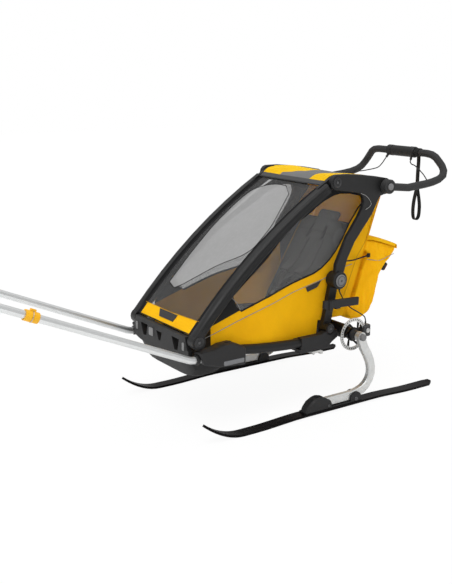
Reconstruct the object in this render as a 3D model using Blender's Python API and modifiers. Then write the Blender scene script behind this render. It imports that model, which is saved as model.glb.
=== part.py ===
"""Child bike trailer with a cross-country ski kit, as separate named sub-parts.

Metres, +Z up, the floor at Z = 0. The trailer faces -Y and its left side is +X.
Every shape is laid out with the axle at Y = 0, and one parent empty then moves
the whole so that the origin is at the bottom centre of its bounding box.
"""

import math

import bmesh
import bpy
from mathutils import Matrix, Vector

# Pivots of the side frame, as (Y, Z)
FRONT_PIVOT_Y = -0.738
FRONT_PIVOT_Z = 0.369
TOP_PIVOT_Y = -0.081
TOP_PIVOT_Z = 0.921
MIDDLE_PIVOT_Y = -0.056
MIDDLE_PIVOT_Z = 0.519
REAR_PIVOT_Y = -0.098
REAR_PIVOT_Z = 0.320
HANDLE_PIVOT_Y = 0.182
HANDLE_PIVOT_Z = 0.889
AXLE_HEIGHT = 0.288
SWING_PIVOT_Y = -0.236
SWING_PIVOT_Z = 0.262

# Layers of the side frame along X, outwards from the middle of the trailer
FRAME_INNER = 0.204
FRAME_WIDTH = 0.036
LOWER_POST_WIDTH = 0.022
JOINT_PLANE = 0.2188
FACE_GAP = 0.0005
PIN_RADIUS = 0.008
PIN_CLEARANCE = 0.0004

# Diagonals and crossbar
DIAGONAL_DEPTH = 0.042
DIAGONAL_BOW = 0.045
DIAGONAL_FOOT_RISE = 0.010
DIAGONAL_WALL = 0.004
DIAGONAL_KNUCKLE = 0.030
GROOVE_WIDTH = 0.003
GROOVE_DEPTH = 0.0015
TONGUE_RADIUS = 0.024
CROSSBAR_RADIUS = 0.010

# Upper frame, lower post and what they carry
TOP_KNUCKLE = 0.031
BARREL_RADIUS = 0.037
BARREL_LENGTH = 0.032
UPPER_POST_WIDTH = 0.044
CASTING_WALL = 0.005
HANDLE_BOSS = 0.034
LOWER_POST_DEPTH = 0.040
LOWER_KNUCKLE = 0.034
REAR_BOSS = 0.022
REAR_BOSS_LENGTH = 0.026
CAP_RADIUS = 0.026
CAP_THICKNESS = 0.006
BRACKET_HEIGHT = 0.034
BRACKET_THICKNESS = 0.015
BRACKET_REACH_FRONT = 0.085
BRACKET_REACH_REAR = 0.106
BRACKET_Z = 0.430

# Base
RAIL_RADIUS = 0.020
RAIL_X = 0.224
RAIL_WALL = 0.002
RAIL_FRONT_Y = -0.540
RAIL_FRONT_Z = 0.303
RAIL_REAR_Y = -0.250
RAIL_REAR_Z = 0.279
RECEIVER_INNER = 0.2150
RECEIVER_WIDTH = 0.053
RECEIVER_FRONT_Y = -0.752
NODE_INNER = 0.174
NODE_OUTER = 0.246
NODE_BOTTOM_Z = 0.240
EAR_WIDTH = 0.022
EAR_RADIUS = 0.024
PANEL_FRONT_Y = -0.770
PANEL_THICKNESS = 0.018
PANEL_TOP_Z = 0.385
PANEL_EAR_RADIUS = 0.019
PANEL_MIDDLE_Z = 0.284
SLOT_TOP_Z = 0.366
SLOT_BOTTOM_Z = 0.318
TRAY_THICKNESS = 0.004
TRAY_REAR_Y = -0.105
TRAY_FLOOR_Z = 0.318
FOOTWELL_Z = 0.198
FOOTWELL_HALF_WIDTH = 0.196
TRAY_HALF_WIDTH = 0.170

# Tow arms
ARM_RADIUS = 0.0145
ARM_WALL = 0.0015
ARM_X = 0.240
ARM_SOCKET_Z = 0.305
ARM_SOCKET_DEPTH = 0.085
ARM_BEND_Y = -0.772
ARM_FRONT_Y = -2.120
ARM_RISE_DEGREES = 23.6
CLIP_Y = -1.388
CLIP_LENGTH = 0.050
CLIP_WALL = 0.0045

# Suspension and brakes
AXLE_RADIUS = 0.0125
AXLE_HALF_LENGTH = 0.2445
SPIGOT_RADIUS = 0.0088
SPIGOT_LENGTH = 0.034
SWING_ARM_X = 0.150
SWING_ARM_WIDTH = 0.022
SWING_ARM_DEPTH = 0.016
BOOT_RADIUS = 0.030
BOOT_INNER = 0.117
BOOT_LENGTH = 0.108
FLANGE_RADIUS = 0.024
FLANGE_THICKNESS = 0.010
ROTOR_RADIUS = 0.070
ROTOR_BORE = 0.0225
ROTOR_THICKNESS = 0.003
ROTOR_OFFSET = 0.0315
HUB_RADIUS = 0.027
CALIPER_REACH = 0.094
CALIPER_HEIGHT = 0.052
CALIPER_WIDTH = 0.032
ADJUSTER_Y = -0.170
ADJUSTER_LENGTH = 0.062
ADJUSTER_HEIGHT = 0.018

# Ski kit
SKI_OFFSET = 0.0755
SKI_WIDTH = 0.050
SKI_THICKNESS = 0.010
SKI_TIP_Y = -0.772
SKI_TIP_Z = 0.078
SKI_TAIL_Y = 0.430
SKI_CONTACT_FRONT_Y = -0.600
SKI_CONTACT_REAR_Y = 0.405
SKI_CAMBER = 0.008
STRUT_WIDTH = 0.025
STRUT_DEPTH = 0.037
STRUT_WALL = 0.005
FOOT_FRONT_Y = -0.240
MOUNT_WIDTH = 0.043
MOUNT_BASE = 0.005
HOOD_LENGTH = 0.140
HOOD_TOP_Z = 0.075
CLAMP_Y = -0.030
CLAMP_RADIUS = 0.030
RELEASE_RADIUS = 0.0145
RELEASE_LENGTH = 0.017
RELEASE_TRAVEL = 0.004
BUTTON_CLEARANCE = 0.0005

# Handlebar
BAR_RADIUS = 0.0165
BAR_Y = 0.515
BAR_Z = 1.000
HANDLE_HUB_RADIUS = 0.030
HANDLE_HUB_WIDTH = 0.033
TILT_BUTTON_RADIUS = 0.0145
TILT_BUTTON_LENGTH = 0.015
TILT_BUTTON_TRAVEL = 0.004
TILT_BUTTON_PROUD = 0.0045
HANDLE_PIN_RADIUS = 0.011
HOUSING_HALF_LENGTH = 0.085
GRIP_HALF_LENGTH = 0.054
HOUSING_CORE_RADIUS = 0.0195
COLLAR_RADIUS = 0.0245
GRIP_RADIUS = 0.0235
CABLE_RADIUS = 0.0025
STRAP_X = 0.1030
STRAP_WIDTH = 0.015
STRAP_THICKNESS = 0.0030
STRAP_BOTTOM_Z = 0.697
STRAP_SPLIT_Z = 0.850
STRAP_LOOP_WIDTH = 0.040

# Soft goods
SHEET = 0.004
COVER_LIFT = 0.012
COVER_TOP_AT = 0.928
COVER_FOOT_AT = 0.006
ROOF_FRONT_Y = -0.1365
ROOF_REAR_Y = 0.198
ROOF_Z = 0.946
ROOF_FRONT_Z = 0.909
ROOF_REAR_Z = 0.904
REAR_EDGE_FOOT_Y = 0.020
REAR_EDGE_FOOT_Z = 0.335
REAR_EDGE_TOP_Y = 0.205
REAR_EDGE_TOP_Z = 0.840
REAR_PANEL_TOP_Y = 0.208
REAR_PANEL_TOP_Z = 0.892
PANEL_X_FRONT = 0.2115
PANEL_X_REAR = 0.1880
PANEL_BILLOW = 0.0030
BAG_HALF_WIDTH = 0.180
BAG_WALL = 0.004
LIGHT_X = 0.135
LIGHT_WIDTH = 0.056
LIGHT_HEIGHT = 0.034
LIGHT_THICKNESS = 0.014
SEAT_HALF_WIDTH = 0.158
SEAT_FRONT_Y = -0.440
SEAT_BACK_FOOT_Y = -0.135
SEAT_REAR_Y = -0.105
SEAT_THICKNESS = 0.058
SEAT_REAR_HEIGHT = 0.034
CUSHION_CROWN = 1.04
BACK_THICKNESS = 0.036
BACK_ROUNDING = 0.010
BACK_TOP_Y = 0.098
BACK_TOP_Z = 0.728
BACK_HALF_WIDTH = 0.140
HEADREST_HALF_WIDTH = 0.068
HEADREST_HEIGHT = 0.044

FRONT_PIVOT = Vector((FRONT_PIVOT_Y, FRONT_PIVOT_Z))
TOP_PIVOT = Vector((TOP_PIVOT_Y, TOP_PIVOT_Z))
MIDDLE_PIVOT = Vector((MIDDLE_PIVOT_Y, MIDDLE_PIVOT_Z))
REAR_PIVOT = Vector((REAR_PIVOT_Y, REAR_PIVOT_Z))
HANDLE_PIVOT = Vector((HANDLE_PIVOT_Y, HANDLE_PIVOT_Z))
SWING_PIVOT = Vector((SWING_PIVOT_Y, SWING_PIVOT_Z))
AXLE = Vector((0.0, AXLE_HEIGHT))

FRAME_OUTER = FRAME_INNER + FRAME_WIDTH
INNER_LAYER_END = JOINT_PLANE - FACE_GAP / 2
OUTER_LAYER_START = JOINT_PLANE + FACE_GAP / 2
LOWER_POST_INNER = INNER_LAYER_END - LOWER_POST_WIDTH
BARREL_OUTER = OUTER_LAYER_START + BARREL_LENGTH
PIN_BORE = PIN_RADIUS + PIN_CLEARANCE
EAR_OUTER = NODE_INNER + EAR_WIDTH
HANDLE_HUB_INNER = FRAME_OUTER + FACE_GAP
HANDLE_HUB_OUTER = HANDLE_HUB_INNER + HANDLE_HUB_WIDTH
BAR_ARM_X = HANDLE_HUB_INNER + BAR_RADIUS + 0.0005
SOCKET_RADIUS = ARM_RADIUS + FACE_GAP
ARM_RISE = math.radians(ARM_RISE_DEGREES)
HUB_INNER = AXLE_HALF_LENGTH + 0.0110
ROTOR_X = AXLE_HALF_LENGTH + ROTOR_OFFSET
SKI_X = AXLE_HALF_LENGTH + SKI_OFFSET
STRUT_INNER = SKI_X - STRUT_WIDTH / 2
STRUT_OUTER = SKI_X + STRUT_WIDTH / 2
MOUNT_FLOOR_Z = SKI_CAMBER + SKI_THICKNESS + FACE_GAP
FOOT_BOTTOM_Z = MOUNT_FLOOR_Z + MOUNT_BASE + FACE_GAP
RAIL_CLEAR = RAIL_RADIUS + 1.6 * FACE_GAP
SEAT_FLOOR_Z = TRAY_FLOOR_Z + TRAY_THICKNESS / 2 + 0.0006

MATERIALS = {
    "frame_black": ((0.045, 0.047, 0.050), 0.50, 0.0),
    "plastic_black": ((0.055, 0.056, 0.058), 0.55, 0.0),
    "aluminium": ((0.72, 0.73, 0.73), 0.35, 1.0),
    "cap_grey": ((0.33, 0.34, 0.35), 0.50, 0.0),
    "yellow_fabric": ((0.88, 0.55, 0.02), 0.75, 0.0),
    "mesh_fabric": ((0.10, 0.10, 0.10), 0.80, 0.0),
    "seat_fabric": ((0.13, 0.13, 0.135), 0.85, 0.0),
    "yellow_strap": ((0.85, 0.50, 0.03), 0.60, 0.0),
    "rotor_steel": ((0.62, 0.62, 0.61), 0.30, 1.0),
    "ski_black": ((0.035, 0.033, 0.036), 0.35, 0.0),
    "foam_black": ((0.060, 0.060, 0.062), 0.80, 0.0),
    "cable_black": ((0.030, 0.030, 0.030), 0.45, 0.0),
    "webbing_black": ((0.035, 0.035, 0.035), 0.85, 0.0),
    "light_red": ((0.55, 0.03, 0.02), 0.25, 0.0),
}

# Local X, Y and Z of a side view stand for Y, Z and X of the trailer
SIDE_VIEW = Matrix(((0, 0, 1, 0), (1, 0, 0, 0), (0, 1, 0, 0), (0, 0, 0, 1)))
# Local X, Y and Z of a front view stand for X, Z and -Y of the trailer
FRONT_VIEW = Matrix(((1, 0, 0, 0), (0, 0, -1, 0), (0, 1, 0, 0), (0, 0, 0, 1)))
WELD_DISTANCE = 0.00001


def new_collection(name):
    collection = bpy.data.collections.new(name)
    bpy.context.scene.collection.children.link(collection)
    return collection


def make_materials():
    made = {}
    for name, (colour, roughness, metallic) in MATERIALS.items():
        material = bpy.data.materials.new(name)
        material.use_nodes = True
        shader = material.node_tree.nodes["Principled BSDF"]
        shader.inputs["Base Color"].default_value = (*colour, 1.0)
        shader.inputs["Roughness"].default_value = roughness
        shader.inputs["Metallic"].default_value = metallic
        made[name] = material
    return made


# Mesh helpers


def link_mesh(mesh, name="shape"):
    obj = bpy.data.objects.new(name, mesh)
    bpy.context.scene.collection.objects.link(obj)
    return obj


def baked(obj):
    """A plain mesh object, welded, with the modifiers and the matrix of obj applied."""
    bpy.context.view_layer.update()
    evaluated = obj.evaluated_get(bpy.context.evaluated_depsgraph_get())
    mesh = bpy.data.meshes.new_from_object(evaluated)
    mesh.transform(obj.matrix_world)
    bm = bmesh.new()
    bm.from_mesh(mesh)
    bmesh.ops.remove_doubles(bm, verts=bm.verts, dist=WELD_DISTANCE)
    bmesh.ops.recalc_face_normals(bm, faces=bm.faces)
    bm.to_mesh(mesh)
    bm.free()
    bpy.data.objects.remove(obj)
    return link_mesh(mesh)


def combine(obj, others, operation):
    for other in others:
        modifier = obj.modifiers.new(operation.lower(), "BOOLEAN")
        modifier.operation = operation
        modifier.solver = "EXACT"
        modifier.object = other
    result = baked(obj)
    for other in others:
        bpy.data.objects.remove(other)
    return result


def join(obj, *others):
    return combine(obj, others, "UNION")


def cut(obj, *others):
    return combine(obj, others, "DIFFERENCE")


def rounded(obj, width, segments=1, angle=35.0):
    bevel = obj.modifiers.new("rounding", "BEVEL")
    bevel.width = width
    bevel.segments = segments
    bevel.limit_method = "ANGLE"
    bevel.angle_limit = math.radians(angle)
    return baked(obj)


def extruded(outline, low, high, view, holes=()):
    """Solid between two planes, from a closed outline and its holes."""
    curve = bpy.data.curves.new("outline", "CURVE")
    curve.dimensions = "2D"
    curve.fill_mode = "BOTH"
    curve.extrude = (high - low) / 2
    for points in (outline, *holes):
        spline = curve.splines.new("POLY")
        spline.points.add(len(points) - 1)
        for point, (across, up) in zip(spline.points, points):
            point.co = (across, up, 0.0, 1.0)
        spline.use_cyclic_u = True
    obj = link_mesh(curve, "outline")
    middle = (low + high) / 2
    obj.matrix_world = view @ Matrix.Translation((0.0, 0.0, middle))
    return baked(obj)


def side_plate(outline, inner, outer, holes=()):
    """Solid between X = inner and X = outer, outlined in (Y, Z)."""
    return extruded(outline, inner, outer, SIDE_VIEW, holes)


def front_plate(outline, front, back, holes=()):
    """Solid between Y = front and Y = back, outlined in (X, Z)."""
    return extruded(outline, -back, -front, FRONT_VIEW, holes)


def disc(centre, radius, inner, outer, sides=20):
    """Cylinder along X from inner to outer, round a (Y, Z) centre."""
    bm = bmesh.new()
    bmesh.ops.create_cone(
        bm, cap_ends=True, segments=sides, radius1=radius, radius2=radius, depth=outer - inner
    )
    middle = Matrix.Translation(((inner + outer) / 2, centre[0], centre[1]))
    bm.transform(middle @ Matrix.Rotation(math.pi / 2, 4, "Y"))
    mesh = bpy.data.meshes.new("disc")
    bm.to_mesh(mesh)
    bm.free()
    return link_mesh(mesh)


def block(centre, size):
    bm = bmesh.new()
    bmesh.ops.create_cube(bm, size=1.0)
    bm.transform(Matrix.Translation(centre) @ Matrix.Diagonal((*size, 1.0)))
    mesh = bpy.data.meshes.new("block")
    bm.to_mesh(mesh)
    bm.free()
    return link_mesh(mesh)


def turned(profile, centre, steps=20):
    """Solid turned round an axis along X, from (radius, X) points down its outer side."""
    mesh = bpy.data.meshes.new("profile")
    points = [(radius, 0.0, along) for radius, along in profile]
    mesh.from_pydata(points, [(i, i + 1) for i in range(len(points) - 1)], [])
    obj = link_mesh(mesh)
    screw = obj.modifiers.new("turn", "SCREW")
    screw.steps = steps
    screw.render_steps = steps
    screw.use_merge_vertices = True
    screw.merge_threshold = 0.0001
    turn = Matrix(((0, 0, 1, 0), (1, 0, 0, 0), (0, 1, 0, 0), (0, 0, 0, 1)))
    obj.matrix_world = Matrix.Translation((0.0, centre[0], centre[1])) @ turn
    return baked(obj)


def tube(points, radius, resolution=3, wall=None):
    """Round tube along points. With a wall it is hollow and open at both ends."""
    curve = bpy.data.curves.new("tube", "CURVE")
    curve.dimensions = "3D"
    curve.bevel_depth = radius
    curve.bevel_resolution = resolution
    curve.use_fill_caps = wall is None
    spline = curve.splines.new("POLY")
    spline.points.add(len(points) - 1)
    for point, position in zip(spline.points, points):
        point.co = (*position, 1.0)
    obj = link_mesh(curve, "tube")
    if wall is None:
        return baked(obj)
    obj = baked(obj)
    shell = obj.modifiers.new("wall", "SOLIDIFY")
    shell.thickness = wall
    shell.offset = -1.0
    return baked(obj)


def sheet(rows, thickness=SHEET, offset=0.0):
    """Closed sheet through a grid of points, given as rows."""
    count = len(rows[0])
    points = [point for row in rows for point in row]
    faces = []
    for i in range(len(rows) - 1):
        for j in range(count - 1):
            corner = i * count + j
            faces.append((corner, corner + 1, corner + count + 1, corner + count))
    mesh = bpy.data.meshes.new("sheet")
    mesh.from_pydata(points, [], faces)
    obj = link_mesh(mesh)
    shell = obj.modifiers.new("thickness", "SOLIDIFY")
    shell.thickness = thickness
    shell.offset = offset
    return baked(obj)


def loft(rings):
    """Closed body through rings of points that all run the same way round."""
    count = len(rings[0])
    points = [point for ring in rings for point in ring]
    faces = [tuple(range(count)), tuple(len(points) - 1 - i for i in range(count))]
    for i in range(len(rings) - 1):
        for j in range(count):
            here = i * count + j
            beside = i * count + (j + 1) % count
            faces.append((here, beside, beside + count, here + count))
    mesh = bpy.data.meshes.new("loft")
    mesh.from_pydata(points, [], faces)
    return baked(link_mesh(mesh))


def mirrored(obj):
    mesh = obj.data.copy()
    mesh.transform(Matrix.Scale(-1.0, 4, (1.0, 0.0, 0.0)))
    mesh.flip_normals()
    return link_mesh(mesh)


# Outline helpers


def arc(centre, radius, start, end, steps):
    """Points on an arc round a centre, from one angle in degrees to another."""
    points = []
    for i in range(steps + 1):
        angle = math.radians(start + (end - start) * i / steps)
        points.append((centre[0] + radius * math.cos(angle), centre[1] + radius * math.sin(angle)))
    return points


def stadium(start, end, radius, steps=8):
    """Outline of a bar with round ends between two points."""
    start = Vector(start)
    end = Vector(end)
    heading = math.degrees(math.atan2(end[1] - start[1], end[0] - start[0]))
    return arc(end, radius, heading - 90, heading + 90, steps) + arc(
        start, radius, heading + 90, heading + 270, steps
    )


def smooth(points, count):
    """Points evenly spread in parameter on a Catmull-Rom curve through points."""
    known = [Vector(point) for point in points]
    known = [2 * known[0] - known[1], *known, 2 * known[-1] - known[-2]]
    spans = len(known) - 3
    result = []
    for i in range(count):
        place = i * spans / (count - 1)
        span = min(int(place), spans - 1)
        t = place - span
        a, b, c, d = known[span : span + 4]
        result.append(
            0.5
            * (
                2 * b
                + (c - a) * t
                + (2 * a - 5 * b + 4 * c - d) * t**2
                + (3 * b - a - 3 * c + d) * t**3
            )
        )
    return result


def thick_line(points, width):
    """Outline of a band of the given width along a line of points."""
    left = []
    right = []
    for i, point in enumerate(points):
        before = points[max(i - 1, 0)]
        after = points[min(i + 1, len(points) - 1)]
        along = (Vector(after) - Vector(before)).normalized()
        side = Vector((-along[1], along[0])) * width / 2
        left.append(Vector(point) + side)
        right.append(Vector(point) - side)
    return left + right[::-1]


def ramp(value, start, end):
    """0 before start, 1 after end, and a smooth step between them."""
    t = min(max((value - start) / (end - start), 0.0), 1.0)
    return t * t * (3 - 2 * t)


# The trailer's bodies, as empties on their joint axes


class Assembly:
    def __init__(self, name, materials):
        self.collection = new_collection(name)
        self.materials = materials
        self.empties = {}
        self.places = {}

    def body(self, name, parent, place):
        empty = bpy.data.objects.new(name + "_axis", None)
        self.collection.objects.link(empty)
        place = Vector(place)
        if parent:
            empty.parent = self.empties[parent]
            empty.location = place - self.places[parent]
        else:
            empty.location = place
        self.empties[name] = empty
        self.places[name] = place if parent else Vector()

    def add(self, name, obj, material, body):
        obj.data.transform(Matrix.Translation(-self.places[body]))
        obj.data.materials.clear()
        obj.data.materials.append(self.materials[material])
        obj.data.shade_smooth()
        obj.data.set_sharp_from_angle(angle=math.radians(35))
        for collection in list(obj.users_collection):
            collection.objects.unlink(obj)
        self.collection.objects.link(obj)
        obj.name = name
        obj.data.name = name
        obj.parent = self.empties[body]

    def pair(self, name, obj, material, body):
        """Adds a left piece and its mirror image, each to the body or to its own side's."""
        other = mirrored(obj)
        bodies = (body, body)
        if body + "_left" in self.empties:
            bodies = (body + "_left", body + "_right")
        self.add(name + "_left", obj, material, bodies[0])
        self.add(name + "_right", other, material, bodies[1])


# Side frame


def diagonal_point(t, offset=0.0):
    """A point t along a diagonal's centre line, from 0 at the front pivot to 1 at the top."""
    chord = TOP_PIVOT - FRONT_PIVOT
    normal = Vector((-chord[1], chord[0])).normalized()
    start = FRONT_PIVOT + normal * DIAGONAL_FOOT_RISE
    control = FRONT_PIVOT + chord / 2 + normal * (2 * DIAGONAL_BOW - DIAGONAL_FOOT_RISE / 2)
    point = start * (1 - t) ** 2 + control * 2 * t * (1 - t) + TOP_PIVOT * t**2
    along = (control - start) * (1 - t) + (TOP_PIVOT - control) * t
    along.normalize()
    return point + Vector((-along[1], along[0])) * offset


def diagonal_band(start, end, width, steps=8):
    upper = [diagonal_point(start + (end - start) * i / steps, width / 2) for i in range(steps + 1)]
    lower = [diagonal_point(start + (end - start) * i / steps, -width / 2) for i in range(steps + 1)]
    return upper + lower[::-1]


def diagonal():
    length = (TOP_PIVOT - FRONT_PIVOT).length
    end = 1 - (TOP_KNUCKLE + 0.006) / length
    bar = rounded(side_plate(diagonal_band(0.0, end, DIAGONAL_DEPTH), FRAME_INNER, FRAME_OUTER), 0.006)
    knuckle = disc(FRONT_PIVOT, DIAGONAL_KNUCKLE, FRAME_INNER, FRAME_OUTER, 16)
    tongue_start = diagonal_point(end - 0.04)
    tongue = side_plate(
        stadium(tongue_start, TOP_PIVOT, TONGUE_RADIUS, 6), FRAME_INNER + FACE_GAP, INNER_LAYER_END
    )
    bar = join(bar, knuckle, tongue)
    pocket = side_plate(
        diagonal_band(0.06, end - 0.09, DIAGONAL_DEPTH - 2 * DIAGONAL_WALL),
        FRAME_INNER - 0.01,
        FRAME_OUTER - DIAGONAL_WALL,
    )
    groove = side_plate(
        diagonal_band(0.06, end - 0.01, GROOVE_WIDTH), FRAME_OUTER - GROOVE_DEPTH, FRAME_OUTER + 0.01
    )
    foot_bore = disc(FRONT_PIVOT, PIN_BORE, FRAME_INNER - 0.01, FRAME_OUTER + 0.01, 12)
    top_bore = disc(TOP_PIVOT, PIN_BORE, FRAME_INNER - 0.01, FRAME_OUTER, 12)
    return cut(bar, pocket, groove, foot_bore, top_bore)


def crossbar():
    half = FRAME_INNER
    points = [(-half, *TOP_PIVOT), (0.0, *TOP_PIVOT), (half, *TOP_PIVOT)]
    return tube(points, CROSSBAR_RADIUS)


def upper_frame():
    """Casting from the top pivot to the handlebar hub, and the post down to the middle hinge."""
    knuckle = arc(TOP_PIVOT, TOP_KNUCKLE, 262, 98, 6)
    top = [(-0.02, 0.951), (0.063, 0.942), (0.130, 0.933)]
    boss = arc(HANDLE_PIVOT, HANDLE_BOSS, 80, -60, 6)
    post_rear = [(0.158, 0.849), (0.116, 0.776), (0.026, 0.670), (-0.012, 0.602)]
    foot = arc(MIDDLE_PIVOT, UPPER_POST_WIDTH / 2, 20, -160, 6)
    post_front = [(-0.072, 0.586), (-0.019, 0.693), (0.040, 0.770), (0.062, 0.806)]
    arch = arc((0.028, 0.832), 0.040, -20, 88, 5)
    outline = knuckle + top + boss + post_rear + foot + post_front + arch
    plate = rounded(side_plate(outline, OUTER_LAYER_START, FRAME_OUTER), 0.004)
    boss_disc = disc(HANDLE_PIVOT, HANDLE_BOSS, FRAME_INNER - 0.004, FRAME_OUTER)
    barrel = rounded(disc(MIDDLE_PIVOT, BARREL_RADIUS, OUTER_LAYER_START, BARREL_OUTER), 0.003)
    pin = disc(TOP_PIVOT, PIN_RADIUS, FRAME_INNER + FACE_GAP, FRAME_OUTER - 0.002, 12)
    plate = join(plate, boss_disc, barrel, pin)
    bore = disc(HANDLE_PIVOT, HANDLE_PIN_RADIUS + PIN_CLEARANCE, FRAME_INNER - 0.02, FRAME_OUTER + 0.01)
    post_line = [(-0.022, 0.608), (0.012, 0.668), (0.055, 0.728), (0.090, 0.782), (0.110, 0.830)]
    hollows = [
        thick_line(post_line, UPPER_POST_WIDTH - 2 * CASTING_WALL),
        [
            (-0.038, 0.942),
            (0.060, 0.934),
            (0.140, 0.923),
            (0.143, 0.862),
            (0.075, 0.866),
            (0.055, 0.882),
            (-0.034, 0.898),
        ],
    ]
    cuts = [side_plate(hollow, OUTER_LAYER_START - 0.01, FRAME_OUTER - CASTING_WALL) for hollow in hollows]
    return cut(plate, bore, *cuts)


def hinge_cap():
    face = BARREL_OUTER + FACE_GAP
    return turned(
        [
            (0.0, face + CAP_THICKNESS),
            (CAP_RADIUS * 0.6, face + CAP_THICKNESS),
            (CAP_RADIUS, face + CAP_THICKNESS * 0.5),
            (CAP_RADIUS, face),
            (0.0, face),
        ],
        MIDDLE_PIVOT,
    )


def lower_post():
    along = MIDDLE_PIVOT - REAR_PIVOT
    outline = thick_line([REAR_PIVOT, REAR_PIVOT + along * 0.9], LOWER_POST_DEPTH)
    bar = rounded(side_plate(outline, LOWER_POST_INNER, INNER_LAYER_END), 0.004)
    top = disc(MIDDLE_PIVOT, LOWER_KNUCKLE, LOWER_POST_INNER, INNER_LAYER_END, 18)
    foot = disc(REAR_PIVOT, REAR_BOSS, LOWER_POST_INNER, INNER_LAYER_END + REAR_BOSS_LENGTH, 18)
    bore = disc(REAR_PIVOT, PIN_BORE, LOWER_POST_INNER - 0.01, FRAME_OUTER + 0.02, 16)
    return cut(join(bar, top, foot), bore)


def bracket():
    """Stow bracket: a bar outside the lower post, on a stand-off."""
    along = (MIDDLE_PIVOT - REAR_PIVOT).normalized()
    reach = (BRACKET_Z - REAR_PIVOT[1]) / along[1]
    middle = REAR_PIVOT + along * reach
    inner = BARREL_OUTER + CAP_THICKNESS + 3 * FACE_GAP
    outer = inner + BRACKET_THICKNESS
    start = (middle[0] - BRACKET_REACH_FRONT, BRACKET_Z + 0.004)
    end = (middle[0] + BRACKET_REACH_REAR, BRACKET_Z - 0.004)
    bar = rounded(side_plate(thick_line([start, end], BRACKET_HEIGHT), inner, outer), 0.004)
    stand = block(
        ((OUTER_LAYER_START + inner + 0.004) / 2, middle[0], BRACKET_Z - 0.0155),
        (inner + 0.004 - OUTER_LAYER_START, 0.024, 0.018),
    )
    clip = block((outer + 0.001, start[0] + 0.034, BRACKET_Z - 0.004), (0.010, 0.018, BRACKET_HEIGHT + 0.008))
    return join(bar, stand, rounded(clip, 0.003))


# Base


def rail_line():
    """Centre line of the rail, square to its neighbours at both ends."""
    return [
        (RAIL_FRONT_Y + FACE_GAP, RAIL_FRONT_Z),
        (RAIL_FRONT_Y + 0.010, RAIL_FRONT_Z),
        (-0.465, 0.294),
        (-0.390, 0.287),
        (-0.320, 0.282),
        (RAIL_REAR_Y - 0.010, RAIL_REAR_Z),
        (RAIL_REAR_Y - FACE_GAP, RAIL_REAR_Z),
    ]


def rail():
    return tube([(RAIL_X, y, z) for y, z in rail_line()], RAIL_RADIUS, 4, RAIL_WALL)


def rail_top(x, y):
    """Height of the rail's upper side at x and y, for what stands on it."""
    line = rail_line()
    centre = line[0][1] if y < line[0][0] else line[-1][1]
    y = max(y, line[0][0])
    for (start_y, start_z), (end_y, end_z) in zip(line, line[1:]):
        if start_y <= y <= end_y:
            centre = start_z + (end_z - start_z) * (y - start_y) / (end_y - start_y)
    aside = min(abs(RAIL_X - x), RAIL_CLEAR)
    return centre + math.sqrt(RAIL_CLEAR**2 - aside**2)


def rear_node():
    """Casting behind the rail: an outer plate, an inner ear and a web under the lower post."""
    pocket = arc(REAR_PIVOT, REAR_BOSS + 0.003, 200, 340, 8)
    pocket_floor = REAR_PIVOT_Z - REAR_BOSS - 0.004
    outline = [
        (RAIL_REAR_Y, RAIL_REAR_Z + 0.024),
        (-0.150, 0.303),
        *pocket,
        (-0.064, 0.312),
        (-0.060, 0.280),
        (-0.085, 0.266),
        (-0.120, NODE_BOTTOM_Z),
        (RAIL_REAR_Y - 0.010, NODE_BOTTOM_Z),
        (RAIL_REAR_Y - 0.010, RAIL_REAR_Z - RAIL_RADIUS - 0.003),
        (RAIL_REAR_Y, RAIL_REAR_Z - RAIL_RADIUS - 0.002),
    ]
    plate = side_plate(outline, OUTER_LAYER_START, NODE_OUTER)
    web_outline = [
        (RAIL_REAR_Y, pocket_floor - 0.004),
        (-0.062, pocket_floor - 0.004),
        (-0.062, 0.280),
        (-0.085, 0.267),
        (-0.121, NODE_BOTTOM_Z + 0.0005),
        (RAIL_REAR_Y, NODE_BOTTOM_Z + 0.0005),
    ]
    web = side_plate(web_outline, NODE_INNER, OUTER_LAYER_START + 0.004)
    ear = side_plate(
        stadium(REAR_PIVOT, (REAR_PIVOT_Y, NODE_BOTTOM_Z + 0.045), EAR_RADIUS - 0.0005),
        NODE_INNER + 0.0005,
        EAR_OUTER,
    )
    pivot_pin = disc(REAR_PIVOT, PIN_RADIUS, EAR_OUTER - 0.004, NODE_OUTER - 0.003, 16)
    swing_pin = disc(SWING_PIVOT, PIN_RADIUS, SWING_ARM_X, NODE_INNER + 0.004, 16)
    return join(plate, web, ear, pivot_pin, swing_pin)


def receiver():
    outline = [
        (RECEIVER_FRONT_Y, 0.334),
        (-0.690, 0.338),
        (-0.650, 0.350),
        (-0.601, 0.352),
        (RAIL_FRONT_Y, RAIL_FRONT_Z + RAIL_RADIUS + 0.002),
        (RAIL_FRONT_Y, 0.255),
        (-0.654, 0.264),
        (-0.729, 0.284),
    ]
    outer = RECEIVER_INNER + RECEIVER_WIDTH
    box = rounded(side_plate(outline, RECEIVER_INNER, outer), 0.006)
    socket = tube(
        [
            (ARM_X, RECEIVER_FRONT_Y - 0.03, ARM_SOCKET_Z),
            (ARM_X, RECEIVER_FRONT_Y + ARM_SOCKET_DEPTH, ARM_SOCKET_Z),
        ],
        SOCKET_RADIUS,
        4,
    )
    return cut(box, socket)


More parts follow.
